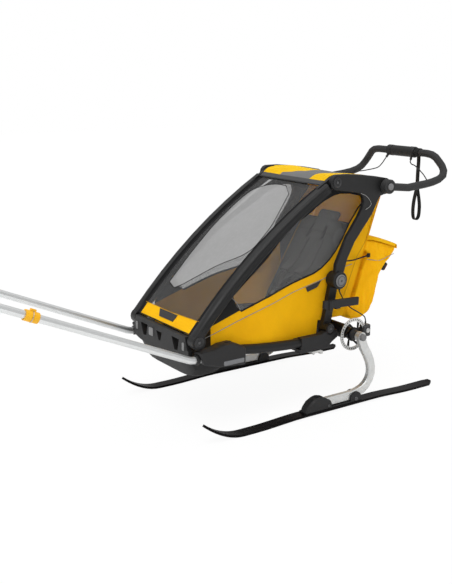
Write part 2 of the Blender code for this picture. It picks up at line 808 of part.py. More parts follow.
def front_panel():
    side = RECEIVER_INNER - FACE_GAP
    ear_outer = FRAME_INNER - FACE_GAP
    half = [
        (side, 0.332),
        (ear_outer, 0.337),
        (ear_outer - 0.012, PANEL_TOP_Z),
    ]
    lower = [(0.0, PANEL_MIDDLE_Z - 0.002), (0.090, PANEL_MIDDLE_Z), (0.160, 0.292), (side, 0.305)]
    right = lower + half
    left = [(-x, z) for x, z in right[:0:-1]]
    outline = right + left
    slots = []
    for x in (-0.122, -0.004, 0.120):
        narrow = 0.006 if x == -0.004 else 0.0
        slots.append(
            [
                (x - 0.028 + narrow, SLOT_TOP_Z - narrow),
                (x + 0.028 - narrow, SLOT_TOP_Z - narrow),
                (x + 0.016 - narrow, SLOT_BOTTOM_Z + narrow),
                (x - 0.008 + narrow, SLOT_BOTTOM_Z + narrow),
            ]
        )
    plate = front_plate(outline, PANEL_FRONT_Y, PANEL_FRONT_Y + PANEL_THICKNESS, slots)
    pieces = []
    for sign in (-1, 1):
        low, high = sorted((sign * (ear_outer - EAR_WIDTH), sign * ear_outer))
        pieces.append(disc(FRONT_PIVOT, PANEL_EAR_RADIUS, low, high))
        low, high = sorted((sign * (ear_outer - 0.004), sign * (FRAME_OUTER - 0.001)))
        pieces.append(disc(FRONT_PIVOT, PIN_RADIUS, low, high, 16))
    return join(plate, *pieces)


def floor_tray():
    """Tub of the footwell, running back into the floor under the seat."""
    wall_y = PANEL_FRONT_Y + PANEL_THICKNESS + FACE_GAP + TRAY_THICKNESS / 2
    stations = [
        (wall_y, 0.300),
        (wall_y + 0.006, 0.262),
        (wall_y + 0.024, FOOTWELL_Z + 0.012),
        (wall_y + 0.070, FOOTWELL_Z),
        (wall_y + 0.130, FOOTWELL_Z + 0.006),
        (wall_y + 0.215, FOOTWELL_Z + 0.048),
        (wall_y + 0.290, TRAY_FLOOR_Z - 0.018),
        (wall_y + 0.340, TRAY_FLOOR_Z),
        (-0.300, TRAY_FLOOR_Z),
        (TRAY_REAR_Y, TRAY_FLOOR_Z),
    ]
    across = 12
    rows = []
    for y, low in stations:
        half = FOOTWELL_HALF_WIDTH + (TRAY_HALF_WIDTH - FOOTWELL_HALF_WIDTH) * ramp(y, -0.56, -0.36)
        rim = max(0.302, low + 0.0002)
        row = []
        for i in range(across + 1):
            u = 2 * i / across - 1
            row.append((half * math.sin(u * math.pi / 2), y, low + (rim - low) * abs(u) ** 5))
        rows.append(row)
    return sheet(rows, TRAY_THICKNESS)


def arm_route(points_on_slope):
    """Points of a tow arm: straight out of its socket, round a bend, and up the slope."""
    end = RECEIVER_FRONT_Y + ARM_SOCKET_DEPTH - 0.004
    points = [(ARM_X, end, ARM_SOCKET_Z), (ARM_X, ARM_BEND_Y + 0.020, ARM_SOCKET_Z)]
    radius = 0.020 / math.tan(ARM_RISE / 2)
    for i in range(1, 4):
        angle = ARM_RISE * i / 4
        y = ARM_BEND_Y + 0.020 - radius * math.sin(angle)
        points.append((ARM_X, y, ARM_SOCKET_Z + radius * (1 - math.cos(angle))))
    start_y = ARM_BEND_Y - 0.020 * math.cos(ARM_RISE)
    start_z = ARM_SOCKET_Z + 0.020 * math.sin(ARM_RISE)
    for i in range(points_on_slope):
        y = start_y + (ARM_FRONT_Y - start_y) * i / (points_on_slope - 1)
        points.append((ARM_X, y, start_z + (start_y - y) * math.tan(ARM_RISE)))
    return points


def tow_arm():
    return tube(arm_route(4), ARM_RADIUS, 3, ARM_WALL)


def arm_clip():
    """Retaining sleeve round a tow arm, with a lug for its spring pin."""
    inner = ARM_RADIUS + 0.0004
    outer = inner + CLIP_WALL
    half = CLIP_LENGTH / 2
    profile = [(inner, half), (outer, half), (outer, -half), (inner, -half), (inner, half)]
    sleeve = turned(profile, (0.0, 0.0), 16)
    lug = block((0.0, 0.0, outer + 0.002), (CLIP_LENGTH * 0.4, 0.010, 0.010))
    sleeve = join(sleeve, lug)
    start_y = ARM_BEND_Y - 0.020 * math.cos(ARM_RISE)
    start_z = ARM_SOCKET_Z + 0.020 * math.sin(ARM_RISE)
    height = start_z + (start_y - CLIP_Y) * math.tan(ARM_RISE)
    turn = Matrix.Rotation(-ARM_RISE, 4, "X") @ Matrix.Rotation(math.pi / 2, 4, "Z")
    sleeve.data.transform(Matrix.Translation((ARM_X, CLIP_Y, height)) @ turn)
    return sleeve


# Suspension and brakes


def axle_beam():
    """Axle tube with its boots, end flanges and swing arms, in one weldment."""
    tube_body = disc(AXLE, AXLE_RADIUS, -AXLE_HALF_LENGTH, AXLE_HALF_LENGTH, 16)
    pieces = []
    bores = []
    for sign in (-1, 1):
        low, high = sorted((sign * BOOT_INNER, sign * (BOOT_INNER + BOOT_LENGTH)))
        pieces.append(disc(AXLE, BOOT_RADIUS, low, high, 16))
        low, high = sorted((sign * (AXLE_HALF_LENGTH - FLANGE_THICKNESS), sign * AXLE_HALF_LENGTH))
        pieces.append(disc(AXLE, FLANGE_RADIUS, low, high, 16))
        low, high = sorted((sign * (SWING_ARM_X + FACE_GAP), sign * (SWING_ARM_X + SWING_ARM_WIDTH)))
        pieces.append(side_plate(stadium(SWING_PIVOT, AXLE, SWING_ARM_DEPTH / 2, 6), low, high))
        pieces.append(disc(SWING_PIVOT, PIN_BORE + 0.0055, low + 0.0008, high - 0.0008, 16))
        bores.append(disc(SWING_PIVOT, PIN_BORE, low - 0.01, high + 0.01, 12))
        start = sign * (AXLE_HALF_LENGTH - SPIGOT_LENGTH)
        low, high = sorted((start, sign * (AXLE_HALF_LENGTH + 0.01)))
        bores.append(disc(AXLE, SPIGOT_RADIUS + PIN_CLEARANCE, low, high, 12))
    return cut(join(tube_body, *pieces), *bores)


def caliper():
    """Brake caliper over the rotor's rear edge, on a bracket from the axle's flange."""
    inner = AXLE_HALF_LENGTH + FACE_GAP
    plate = side_plate(
        thick_line([(SPIGOT_RADIUS + 0.004, AXLE_HEIGHT), (CALIPER_REACH - 0.012, AXLE_HEIGHT)], 0.026),
        inner,
        HUB_INNER - FACE_GAP,
    )
    body = block(
        (inner + 0.007 + CALIPER_WIDTH / 2, (CALIPER_REACH + 0.052) / 2, AXLE_HEIGHT + 0.004),
        (CALIPER_WIDTH, CALIPER_REACH - 0.052, CALIPER_HEIGHT),
    )
    piece = join(plate, rounded(body, 0.005))
    slot_half = ROTOR_THICKNESS / 2 + 0.0015
    slot = disc(AXLE, ROTOR_RADIUS + 0.002, ROTOR_X - slot_half, ROTOR_X + slot_half, 40)
    return cut(piece, slot)


def adjuster():
    """Suspension slider under the rear node."""
    top = NODE_BOTTOM_Z - FACE_GAP
    low = top - ADJUSTER_HEIGHT
    front = ADJUSTER_Y - ADJUSTER_LENGTH / 2
    rear = ADJUSTER_Y + ADJUSTER_LENGTH / 2
    outline = [
        (front, top),
        (rear - 0.010, top),
        (rear, top - 0.006),
        (rear, low),
        (rear - 0.014, low),
        (rear - 0.018, top - 0.009),
        (front + 0.022, top - 0.009),
        (front + 0.014, low + 0.002),
        (front + 0.004, top - 0.007),
    ]
    return rounded(side_plate(outline, NODE_INNER + 0.008, NODE_OUTER + 0.004), 0.0015)


# Ski kit


def ski_hub():
    face = STRUT_INNER - FACE_GAP
    step = ROTOR_X - ROTOR_THICKNESS / 2
    profile = [
        (0.0, face),
        (0.019, face),
        (0.019, face - 0.006),
        (HUB_RADIUS * 0.8, step + 0.008),
        (ROTOR_BORE - PIN_CLEARANCE, step + 0.006),
        (ROTOR_BORE - PIN_CLEARANCE, step - FACE_GAP),
        (HUB_RADIUS, step - FACE_GAP),
        (HUB_RADIUS, HUB_INNER + 0.004),
        (0.018, HUB_INNER),
        (SPIGOT_RADIUS, HUB_INNER),
        (SPIGOT_RADIUS, AXLE_HALF_LENGTH - SPIGOT_LENGTH + 0.004),
        (0.0, AXLE_HALF_LENGTH - SPIGOT_LENGTH + 0.004),
    ]
    return turned(profile, AXLE)


def rotor():
    """Brake disc: a drilled rim, a ring round the hub and six swept arms between them."""
    low = ROTOR_X - ROTOR_THICKNESS / 2
    high = ROTOR_X + ROTOR_THICKNESS / 2
    rim = 0.055
    ring = 0.030
    windows = []
    for i in range(6):
        start = 60 * i
        outer = arc(AXLE, rim, start + 8, start + 54, 4)
        inner = arc(AXLE, ring, start + 30, start - 12, 3)
        windows.append(outer + inner)
    holes = []
    for i in range(12):
        centre = arc(AXLE, 0.0625, 30 * i + 6, 30 * i + 6, 1)[0]
        holes.append(arc(centre, 0.0032, 0, 270, 3))
    bore = arc(AXLE, ROTOR_BORE, 0, 340, 17)
    outline = arc(AXLE, ROTOR_RADIUS, 0, 348, 29)
    return side_plate(outline, low, high, (bore, *windows, *holes))


def strut_line(count):
    """Centre line of the strut, from the axle down to the ski's foot."""
    foot_z = FOOT_BOTTOM_Z + STRUT_DEPTH / 2
    curve = smooth(
        [
            (-0.004, AXLE_HEIGHT + 0.012),
            (0.018, AXLE_HEIGHT - 0.045),
            (0.052, 0.185),
            (0.065, 0.132),
            (0.050, 0.086),
            (0.012, 0.056),
            (-0.045, foot_z),
        ],
        count,
    )
    return [*curve, Vector((FOOT_FRONT_Y, foot_z))]


def strut():
    outline = thick_line(strut_line(12), STRUT_DEPTH)
    bar = rounded(side_plate(outline, STRUT_INNER, STRUT_OUTER), 0.004)
    head = disc(AXLE, STRUT_DEPTH / 2 + 0.002, STRUT_INNER + 0.0005, STRUT_OUTER - 0.0005)
    pocket = disc(
        AXLE,
        RELEASE_RADIUS + BUTTON_CLEARANCE,
        STRUT_OUTER - RELEASE_TRAVEL - 0.005,
        STRUT_OUTER + 0.01,
    )
    hollow = side_plate(
        thick_line(strut_line(12)[3:11], STRUT_DEPTH - 2 * STRUT_WALL),
        STRUT_INNER - 0.01,
        STRUT_OUTER - STRUT_WALL,
    )
    return cut(join(bar, head), pocket, hollow)


def release_button():
    inner = STRUT_OUTER - 0.0045
    outer = inner + RELEASE_LENGTH
    return turned(
        [
            (0.0, outer),
            (RELEASE_RADIUS - 0.003, outer),
            (RELEASE_RADIUS, outer - 0.003),
            (RELEASE_RADIUS, inner),
            (0.0, inner),
        ],
        AXLE,
        20,
    )


def ski_sole(y):
    """Height of the ski's underside at y."""
    if y < SKI_CONTACT_FRONT_Y:
        part = (SKI_CONTACT_FRONT_Y - y) / (SKI_CONTACT_FRONT_Y - SKI_TIP_Y)
        return (SKI_TIP_Z - SKI_THICKNESS) * part**2
    if y > SKI_CONTACT_REAR_Y:
        return 0.25 * (y - SKI_CONTACT_REAR_Y)
    return SKI_CAMBER * (1 - ramp(abs(y - FOOT_FRONT_Y / 2), 0.19, 0.42))


def ski():
    stations = [SKI_TAIL_Y - 0.002, SKI_TAIL_Y - 0.014, SKI_TAIL_Y - 0.028]
    stations += [0.300, 0.250, 0.200, 0.150, 0.105, 0.070, -0.310, -0.350, -0.400, -0.450, -0.500, -0.540]
    stations += [SKI_CONTACT_FRONT_Y]
    stations += [SKI_CONTACT_FRONT_Y + (SKI_TIP_Y - SKI_CONTACT_FRONT_Y) * i / 8 for i in range(1, 9)]
    rows = []
    for y in stations:
        half = SKI_WIDTH / 2
        if y > SKI_TAIL_Y - 0.026:
            half *= 0.35 + 0.65 * (SKI_TAIL_Y - y) / 0.026
        if y < SKI_CONTACT_FRONT_Y:
            part = (SKI_CONTACT_FRONT_Y - y) / (SKI_CONTACT_FRONT_Y - SKI_TIP_Y)
            half *= 1 - 0.62 * part**2.2
        z = ski_sole(y)
        rows.append([(SKI_X - half, y, z), (SKI_X, y, z), (SKI_X + half, y, z)])
    return sheet(rows, SKI_THICKNESS, -1.0)


def ski_mount():
    """Binding plate on the ski, with the hood at its front and the clamp at its rear."""
    inner = SKI_X - MOUNT_WIDTH / 2
    outer = SKI_X + MOUNT_WIDTH / 2
    front = FOOT_FRONT_Y - HOOD_LENGTH * 0.42
    hood_rear = front + HOOD_LENGTH
    rear = CLAMP_Y + CLAMP_RADIUS
    base = side_plate(
        [
            (front, MOUNT_FLOOR_Z),
            (rear, MOUNT_FLOOR_Z),
            (rear, MOUNT_FLOOR_Z + MOUNT_BASE),
            (front, MOUNT_FLOOR_Z + MOUNT_BASE),
        ],
        inner,
        outer,
    )
    floor = MOUNT_FLOOR_Z + 0.001
    hood_outline = [
        (front + 0.002, floor),
        (front + 0.010, floor + 0.020),
        (front + 0.028, floor + 0.040),
        (front + 0.052, HOOD_TOP_Z - 0.004),
        (front + 0.074, HOOD_TOP_Z),
        (front + 0.100, HOOD_TOP_Z - 0.006),
        (hood_rear - 0.012, HOOD_TOP_Z - 0.022),
        (hood_rear, floor + 0.020),
        (hood_rear, floor),
    ]
    hood = rounded(side_plate(hood_outline, inner + 0.0005, outer - 0.0005), 0.005)
    clamp_outline = arc((CLAMP_Y, MOUNT_FLOOR_Z + 0.012), CLAMP_RADIUS - 0.001, 0, 180, 10)
    clamp_outline += [(CLAMP_Y - CLAMP_RADIUS + 0.001, floor), (CLAMP_Y + CLAMP_RADIUS - 0.001, floor)]
    clamp = side_plate(clamp_outline, inner + 0.0005, outer - 0.0005)
    piece = join(base, hood, clamp)
    channel_front = FOOT_FRONT_Y - FACE_GAP
    foot_slot = block(
        (SKI_X, (channel_front + 0.2) / 2, FOOT_BOTTOM_Z - FACE_GAP + 0.1),
        (STRUT_WIDTH + 2 * FACE_GAP, 0.2 - channel_front, 0.2),
    )
    return cut(piece, foot_slot)


# Handlebar


def handle_arm():
    """Points of the bar from the left hub to its middle."""
    bend = smooth(
        [
            (BAR_ARM_X, 0.400, 0.884),
            (BAR_ARM_X, 0.462, 0.893),
            (BAR_ARM_X - 0.001, 0.505, 0.910),
            (BAR_ARM_X - 0.014, BAR_Y + 0.009, 0.938),
            (0.221, BAR_Y + 0.008, 0.964),
            (0.197, BAR_Y + 0.004, 0.988),
            (0.165, BAR_Y, BAR_Z - 0.001),
            (HOUSING_HALF_LENGTH + 0.030, BAR_Y, BAR_Z),
        ],
        11,
    )
    start = [(BAR_ARM_X, HANDLE_PIVOT_Y + 0.012, HANDLE_PIVOT_Z - 0.002), (BAR_ARM_X, 0.300, 0.876)]
    return [*start, *[tuple(point) for point in bend], (0.0, BAR_Y, BAR_Z)]


def handlebar():
    half = handle_arm()
    points = half + [(-x, y, z) for x, y, z in half[-2::-1]]
    bar = tube(points, BAR_RADIUS, 3)
    pieces = []
    recesses = []
    for sign in (-1, 1):
        low, high = sorted((sign * HANDLE_HUB_INNER, sign * HANDLE_HUB_OUTER))
        pieces.append(rounded(disc(HANDLE_PIVOT, HANDLE_HUB_RADIUS, low, high), 0.003))
        low, high = sorted((sign * (FRAME_INNER + 0.002), sign * (HANDLE_HUB_INNER + 0.004)))
        pieces.append(disc(HANDLE_PIVOT, HANDLE_PIN_RADIUS, low, high))
        floor = HANDLE_HUB_OUTER + TILT_BUTTON_PROUD - TILT_BUTTON_LENGTH - TILT_BUTTON_TRAVEL - 0.001
        low, high = sorted((sign * floor, sign * (HANDLE_HUB_OUTER + 0.01)))
        recesses.append(disc(HANDLE_PIVOT, TILT_BUTTON_RADIUS + BUTTON_CLEARANCE, low, high))
    return cut(join(bar, *pieces), *recesses)


def tilt_button():
    outer = HANDLE_HUB_OUTER + TILT_BUTTON_PROUD
    inner = outer - TILT_BUTTON_LENGTH
    return turned(
        [
            (0.0, outer),
            (TILT_BUTTON_RADIUS - 0.002, outer),
            (TILT_BUTTON_RADIUS, outer - 0.002),
            (TILT_BUTTON_RADIUS, inner),
            (0.0, inner),
        ],
        HANDLE_PIVOT,
        20,
    )


def brake_housing():
    bore = BAR_RADIUS + PIN_CLEARANCE
    shoulder = GRIP_HALF_LENGTH + FACE_GAP
    end = HOUSING_HALF_LENGTH
    profile = [
        (bore, end),
        (COLLAR_RADIUS - 0.003, end),
        (COLLAR_RADIUS, end - 0.004),
        (COLLAR_RADIUS, shoulder),
        (HOUSING_CORE_RADIUS, shoulder),
        (HOUSING_CORE_RADIUS, -shoulder),
        (COLLAR_RADIUS, -shoulder),
        (COLLAR_RADIUS, -end + 0.004),
        (COLLAR_RADIUS - 0.003, -end),
        (bore, -end),
        (bore, end),
    ]
    spool = turned(profile, (BAR_Y, BAR_Z))
    bosses = []
    for start, end_point in cable_exits():
        bosses.append(tube([start, end_point], 0.0055, 3))
    return join(spool, *bosses)


def cable_exits():
    """Start and end of the two cable bosses under the housing's collars."""
    exits = []
    for sign in (1, -1):
        x = sign * (HOUSING_HALF_LENGTH - 0.014)
        exits.append(((x, BAR_Y - 0.012, BAR_Z - 0.014), (x + sign * 0.006, BAR_Y - 0.022, BAR_Z - 0.032)))
    return exits


def twist_grip():
    bore = HOUSING_CORE_RADIUS + PIN_CLEARANCE
    half = GRIP_HALF_LENGTH
    profile = [(bore, half), (GRIP_RADIUS, half), (GRIP_RADIUS, -half), (bore, -half), (bore, half)]
    return turned(profile, (BAR_Y, BAR_Z))


def upper_cable(side):
    """Brake cable from a collar's boss to where it enters the bar's arm."""
    boss = cable_exits()[0 if side > 0 else 1]
    start = Vector(boss[0])
    tip = Vector(boss[1])
    heading = (tip - start).normalized()
    entry_x = BAR_ARM_X - BAR_RADIUS - 0.0008
    if side > 0:
        route = [
            tip + heading * 0.0005,
            tip + heading * 0.005,
            tip + heading * 0.012,
            (0.122, 0.478, 0.944),
            (0.180, 0.462, 0.919),
            (0.216, 0.447, 0.901),
            (entry_x - 0.009, 0.4405, 0.8905),
            (entry_x, 0.440, 0.890),
        ]
    else:
        route = [
            tip + heading * 0.0005,
            tip + heading * 0.005,
            tip + heading * 0.014,
            (-0.098, 0.486, 0.936),
            (-0.140, 0.500, 0.914),
            (-0.190, 0.492, 0.900),
            (-0.217, 0.468, 0.893),
            (-entry_x + 0.009, 0.4525, 0.8915),
            (-entry_x, 0.452, 0.8915),
        ]
    return tube(smooth(route, 22), CABLE_RADIUS, 2)


def lower_cable():
    """Brake cable from the middle hinge barrel, behind the stow bracket, to the caliper."""
    caliper_top = AXLE_HEIGHT + 0.004 + CALIPER_HEIGHT / 2
    route = [
        (0.2435, MIDDLE_PIVOT_Y, MIDDLE_PIVOT_Z - BARREL_RADIUS - 0.0006),
        (0.2435, MIDDLE_PIVOT_Y + 0.001, MIDDLE_PIVOT_Z - BARREL_RADIUS - 0.0080),
        (0.2430, -0.046, 0.459),
        (0.2400, -0.026, 0.432),
        (0.2440, 0.004, 0.398),
        (0.2560, 0.042, 0.372),
        (0.2660, 0.068, 0.352),
        (0.2680, 0.075, caliper_top + 0.014),
        (0.2680, 0.075, caliper_top + 0.0004),
    ]
    return tube(smooth(route, 24), CABLE_RADIUS, 2)


def wrist_strap():
    """Webbing loop: a ring round the bar, and a hanging loop that opens near its end."""
    inner = BAR_RADIUS + PIN_CLEARANCE
    outer = inner + STRAP_THICKNESS
    low = STRAP_X - STRAP_WIDTH / 2
    high = STRAP_X + STRAP_WIDTH / 2
    profile = [(inner, high), (outer, high), (outer, low), (inner, low), (inner, high)]
    ring = turned(profile, (BAR_Y, BAR_Z))
    neck = STRAP_THICKNESS + 0.0008
    loop_half = STRAP_LOOP_WIDTH / 2
    top = BAR_Z - outer + 0.0015
    radius = loop_half * 0.62
    middle_z = STRAP_BOTTOM_Z + radius + 0.035
    right = [
        (STRAP_X + neck, top),
        (STRAP_X + neck, STRAP_SPLIT_Z),
        (STRAP_X + loop_half * 0.7, (STRAP_SPLIT_Z + middle_z) / 2),
        (STRAP_X + loop_half, middle_z),
    ]
    bottom = arc((STRAP_X, STRAP_BOTTOM_Z + radius), radius, -20, -160, 6)
    left = [(2 * STRAP_X - x, z) for x, z in right[::-1]]
    outline = right + bottom + left
    wall = STRAP_THICKNESS
    inner_radius = radius - wall
    hole_right = [
        (STRAP_X + 0.0004, STRAP_SPLIT_Z - 0.004),
        (STRAP_X + loop_half * 0.7 - wall, (STRAP_SPLIT_Z + middle_z) / 2),
        (STRAP_X + loop_half - wall, middle_z),
    ]
    hole_bottom = arc((STRAP_X, STRAP_BOTTOM_Z + radius), inner_radius, -20, -160, 6)
    hole_left = [(2 * STRAP_X - x, z) for x, z in hole_right[::-1]]
    half = STRAP_WIDTH / 2
    loop = front_plate(outline, BAR_Y - half, BAR_Y + half, [hole_right + hole_bottom + hole_left])
    return join(loop, ring)


# Soft goods


def front_cover():
    """Cover between the diagonals, from the front panel up to its hinge under the roof's hem."""
    half = FRAME_INNER - FACE_GAP
    steps = 10
    rows = []
    for i in range(steps + 1):
        y, z = diagonal_point(COVER_FOOT_AT + (COVER_TOP_AT - COVER_FOOT_AT) * i / steps, COVER_LIFT)
        rows.append([(half * u, y, z) for u in (-1.0, 0.0, 1.0)])
    return sheet(rows)


def roof():
    """Roof between the castings, from its front hem over the crossbar to its rear hem."""
    narrow = FRAME_INNER - FACE_GAP
    wide = OUTER_LAYER_START - FACE_GAP
    stations = [
        (ROOF_FRONT_Y, ROOF_FRONT_Z, narrow),
        (ROOF_FRONT_Y + 0.012, ROOF_FRONT_Z + 0.010, narrow),
        (-0.090, ROOF_Z - 0.003, narrow),
        (-0.052, ROOF_Z + 0.001, narrow),
        (-0.044, ROOF_Z + 0.001, wide),
        (0.040, ROOF_Z - 0.003, wide),
        (0.095, ROOF_Z - 0.011, wide),
        (0.138, ROOF_Z - 0.019, wide),
        (0.146, ROOF_Z - 0.021, narrow - HANDLE_BOSS * 0.2),
        (0.172, ROOF_Z - 0.028, narrow - HANDLE_BOSS * 0.2),
        (ROOF_REAR_Y, ROOF_REAR_Z, narrow - HANDLE_BOSS * 0.2),
    ]
    rows = []
    for y, z, half in stations:
        crown = [(u, 0.004 * (1 - u * u)) for u in (-1.0, -0.5, 0.0, 0.5, 1.0)]
        rows.append([(half * u, y, z + lift) for u, lift in crown])
    return sheet(rows)


def rear_edge_z(y):
    """Height of the cabin's rear edge at y, above which the side panel ends."""
    part = (y - REAR_EDGE_FOOT_Y) / (REAR_EDGE_TOP_Y - REAR_EDGE_FOOT_Y)
    return REAR_EDGE_FOOT_Z + (REAR_EDGE_TOP_Z - REAR_EDGE_FOOT_Z) * part


def panel_x(y):
    return PANEL_X_FRONT + (PANEL_X_REAR - PANEL_X_FRONT) * ramp(y, -0.34, -0.17)


def diagonal_height(y, offset):
    """Height at y of a line beside a diagonal's centre line."""
    low = 0.0
    high = 1.0
    for _ in range(30):
        middle = (low + high) / 2
        if diagonal_point(middle, offset)[0] < y:
            low = middle
        else:
            high = middle
    return diagonal_point(low, offset)[1]


def panel_columns():
    """Lower and upper ends of the side panel's columns, as (Y, low Z, high Z)."""
    under = -DIAGONAL_DEPTH / 2 - 0.001
    web_top = REAR_PIVOT_Z - REAR_BOSS - 0.008 + 0.0015
    over_ear = REAR_PIVOT_Z + EAR_RADIUS + 0.002
    columns = []
    for y in (-0.668, -0.625, -0.580, -0.532, -0.475, -0.415, -0.355, -0.300):
        columns.append((y, rail_top(panel_x(y) + SHEET / 2, y), diagonal_height(y, under)))
    for y in (-0.253, -0.190, -0.128):
        columns.append((y, web_top, diagonal_height(y, under)))
    for y, top in ((-0.122, 0.870), (-0.085, 0.888), (-0.045, 0.898), (0.000, 0.904)):
        columns.append((y, over_ear, top))
    for y, top in ((0.045, 0.905), (0.090, 0.903), (0.135, 0.899), (0.175, 0.894), (0.205, 0.889)):
        columns.append((y, max(over_ear, rear_edge_z(y)), top))
    return columns


def side_panel():
    rows = []
    steps = 3
    for y, low, high in panel_columns():
        row = []
        for i in range(steps + 1):
            part = i / steps
            billow = PANEL_BILLOW * math.sin(math.pi * part)
            row.append((panel_x(y) - billow, y, low + (high - low) * part))
        rows.append(row)
    return sheet(rows)


def rear_panel():
    half = PANEL_X_REAR - SHEET / 2 - FACE_GAP - PANEL_BILLOW
    rows = []
    for i in range(5):
        y, z = rear_panel_line(i / 4)
        rows.append([(half * u, y, z) for u in (-1.0, 0.0, 1.0)])
    rows.append([(half * u, REAR_PANEL_TOP_Y, REAR_PANEL_TOP_Z) for u in (-1.0, 0.0, 1.0)])
    return sheet(rows)


def inset(outline, distance):
    """A closed outline with every side moved inwards by the distance."""
    points = [Vector(point) for point in outline]
    turning = sum(a[0] * b[1] - a[1] * b[0] for a, b in zip(points, points[1:] + points[:1]))
    inward = 1.0 if turning > 0 else -1.0
    result = []
    for i, point in enumerate(points):
        before = (point - points[i - 1]).normalized()
        after = (points[(i + 1) % len(points)] - point).normalized()
        first = Vector((-before[1], before[0])) * inward
        second = Vector((-after[1], after[0])) * inward
        half = (first + second) / (1 + first.dot(second))
        result.append(point + half * distance)
    return result


def rear_panel_line(part):
    foot = Vector((REAR_EDGE_FOOT_Y + 0.002, REAR_EDGE_FOOT_Z + 0.013))
    top = Vector((REAR_EDGE_TOP_Y - 0.004, REAR_EDGE_TOP_Z - 0.004))
    return foot.lerp(top, part)


# Top, back and underside of the cargo bag, as (Y, Z)
BAG_BACK = [
    (0.225, 0.648),
    (0.319, 0.618),
    (0.311, 0.588),
    (0.254, 0.512),
    (0.228, 0.440),
    (0.208, 0.384),
    (0.172, 0.330),
    (0.126, 0.311),
    (0.075, 0.314),
    (0.046, 0.338),
]


def bag():
    """Cargo bag as a shell, open on its front side, which the rear panel closes."""
    behind = Vector((SHEET / 2 + FACE_GAP, 0.0)) * 1.1
    top = rear_panel_line(0.655) + behind
    foot = rear_panel_line(0.015) + behind
    outline = [top, *BAG_BACK, foot]
    ahead = Vector((-0.02, 0.0))
    solid = side_plate([top + ahead, *outline, foot + ahead], -BAG_HALF_WIDTH, BAG_HALF_WIDTH)
    solid = rounded(solid, 0.008, 2, 50)
    hollow = inset(outline, BAG_WALL)
    forward = Vector((-0.05, 0.0))
    hollow = [hollow[0] + forward, *hollow, hollow[-1] + forward]
    half = BAG_HALF_WIDTH - BAG_WALL
    low = rear_panel_line(-0.2) + behind
    high = rear_panel_line(1.0) + behind
    front = [low, high, high + forward, low + forward]
    wide = BAG_HALF_WIDTH + 0.01
    return cut(solid, side_plate(front, -wide, wide), side_plate(hollow, -half, half))


def tail_light():
    """Light on the bag's sloping back."""
    low = Vector(BAG_BACK[3])
    high = Vector(BAG_BACK[2])
    along = (high - low).normalized()
    normal = Vector((along[1], -along[0]))
    middle = low.lerp(high, 0.36) + normal * (LIGHT_THICKNESS / 2 + 0.0005)
    lamp = rounded(block((0.0, 0.0, 0.0), (LIGHT_WIDTH, LIGHT_THICKNESS, LIGHT_HEIGHT)), 0.003, 2)
    lean = math.atan2(along[0], along[1])
    place = Matrix.Translation((LIGHT_X, *middle)) @ Matrix.Rotation(-lean, 4, "X")
    lamp.data.transform(place)
    return lamp


# Cross-section of a cushion, as parts of its half width and of its height, with two sewn channels
CUSHION = [
    (-0.94, 0.0),
    (0.94, 0.0),
    (1.0, 0.30),
    (1.0, 0.62),
    (0.93, 0.88),
    (0.72, 0.98),
    (0.42, 1.0),
    (0.34, 0.88),
    (0.26, 1.0),
    (0.0, CUSHION_CROWN),
    (-0.26, 1.0),
    (-0.34, 0.88),
    (-0.42, 1.0),
    (-0.72, 0.98),
    (-0.93, 0.88),
    (-1.0, 0.62),
    (-1.0, 0.30),
]


def seat_pad():
    """Crowned seat cushion on the floor tray, lower under the seat back."""
    rear = SEAT_REAR_Y
    front = SEAT_FRONT_Y
    low = SEAT_REAR_HEIGHT
    stations = [
        (rear, 0.94, low * 0.45),
        (rear - 0.004, 0.98, low * 0.78),
        (rear - 0.013, 1.0, low),
        (rear - 0.082, 1.0, low),
        (rear - 0.128, 1.0, low + (SEAT_THICKNESS - low) * 0.55),
        (front + 0.110, 1.0, SEAT_THICKNESS * 0.96),
        (front + 0.050, 1.0, SEAT_THICKNESS),
        (front + 0.022, 0.99, SEAT_THICKNESS * 0.95),
        (front + 0.006, 0.97, SEAT_THICKNESS * 0.78),
        (front, 0.94, SEAT_THICKNESS * 0.45),
    ]
    rings = []
    for y, narrowing, height in stations:
        half = SEAT_HALF_WIDTH * narrowing
        rings.append([(half * u, y, SEAT_FLOOR_Z + height * up) for u, up in CUSHION])
    return loft(rings)


def seat_back_frame():
    """Foot of the seat back, and the directions along it and out of its front."""
    seat_top = SEAT_FLOOR_Z + SEAT_REAR_HEIGHT * CUSHION_CROWN
    foot = Vector((SEAT_BACK_FOOT_Y, seat_top - 0.34 * BACK_ROUNDING))
    along = (Vector((BACK_TOP_Y, BACK_TOP_Z)) - foot).normalized()
    return foot, along, Vector((-along[1], along[0]))


def seat_back_hinge():
    foot, along, normal = seat_back_frame()
    return foot + (along + normal) * BACK_ROUNDING


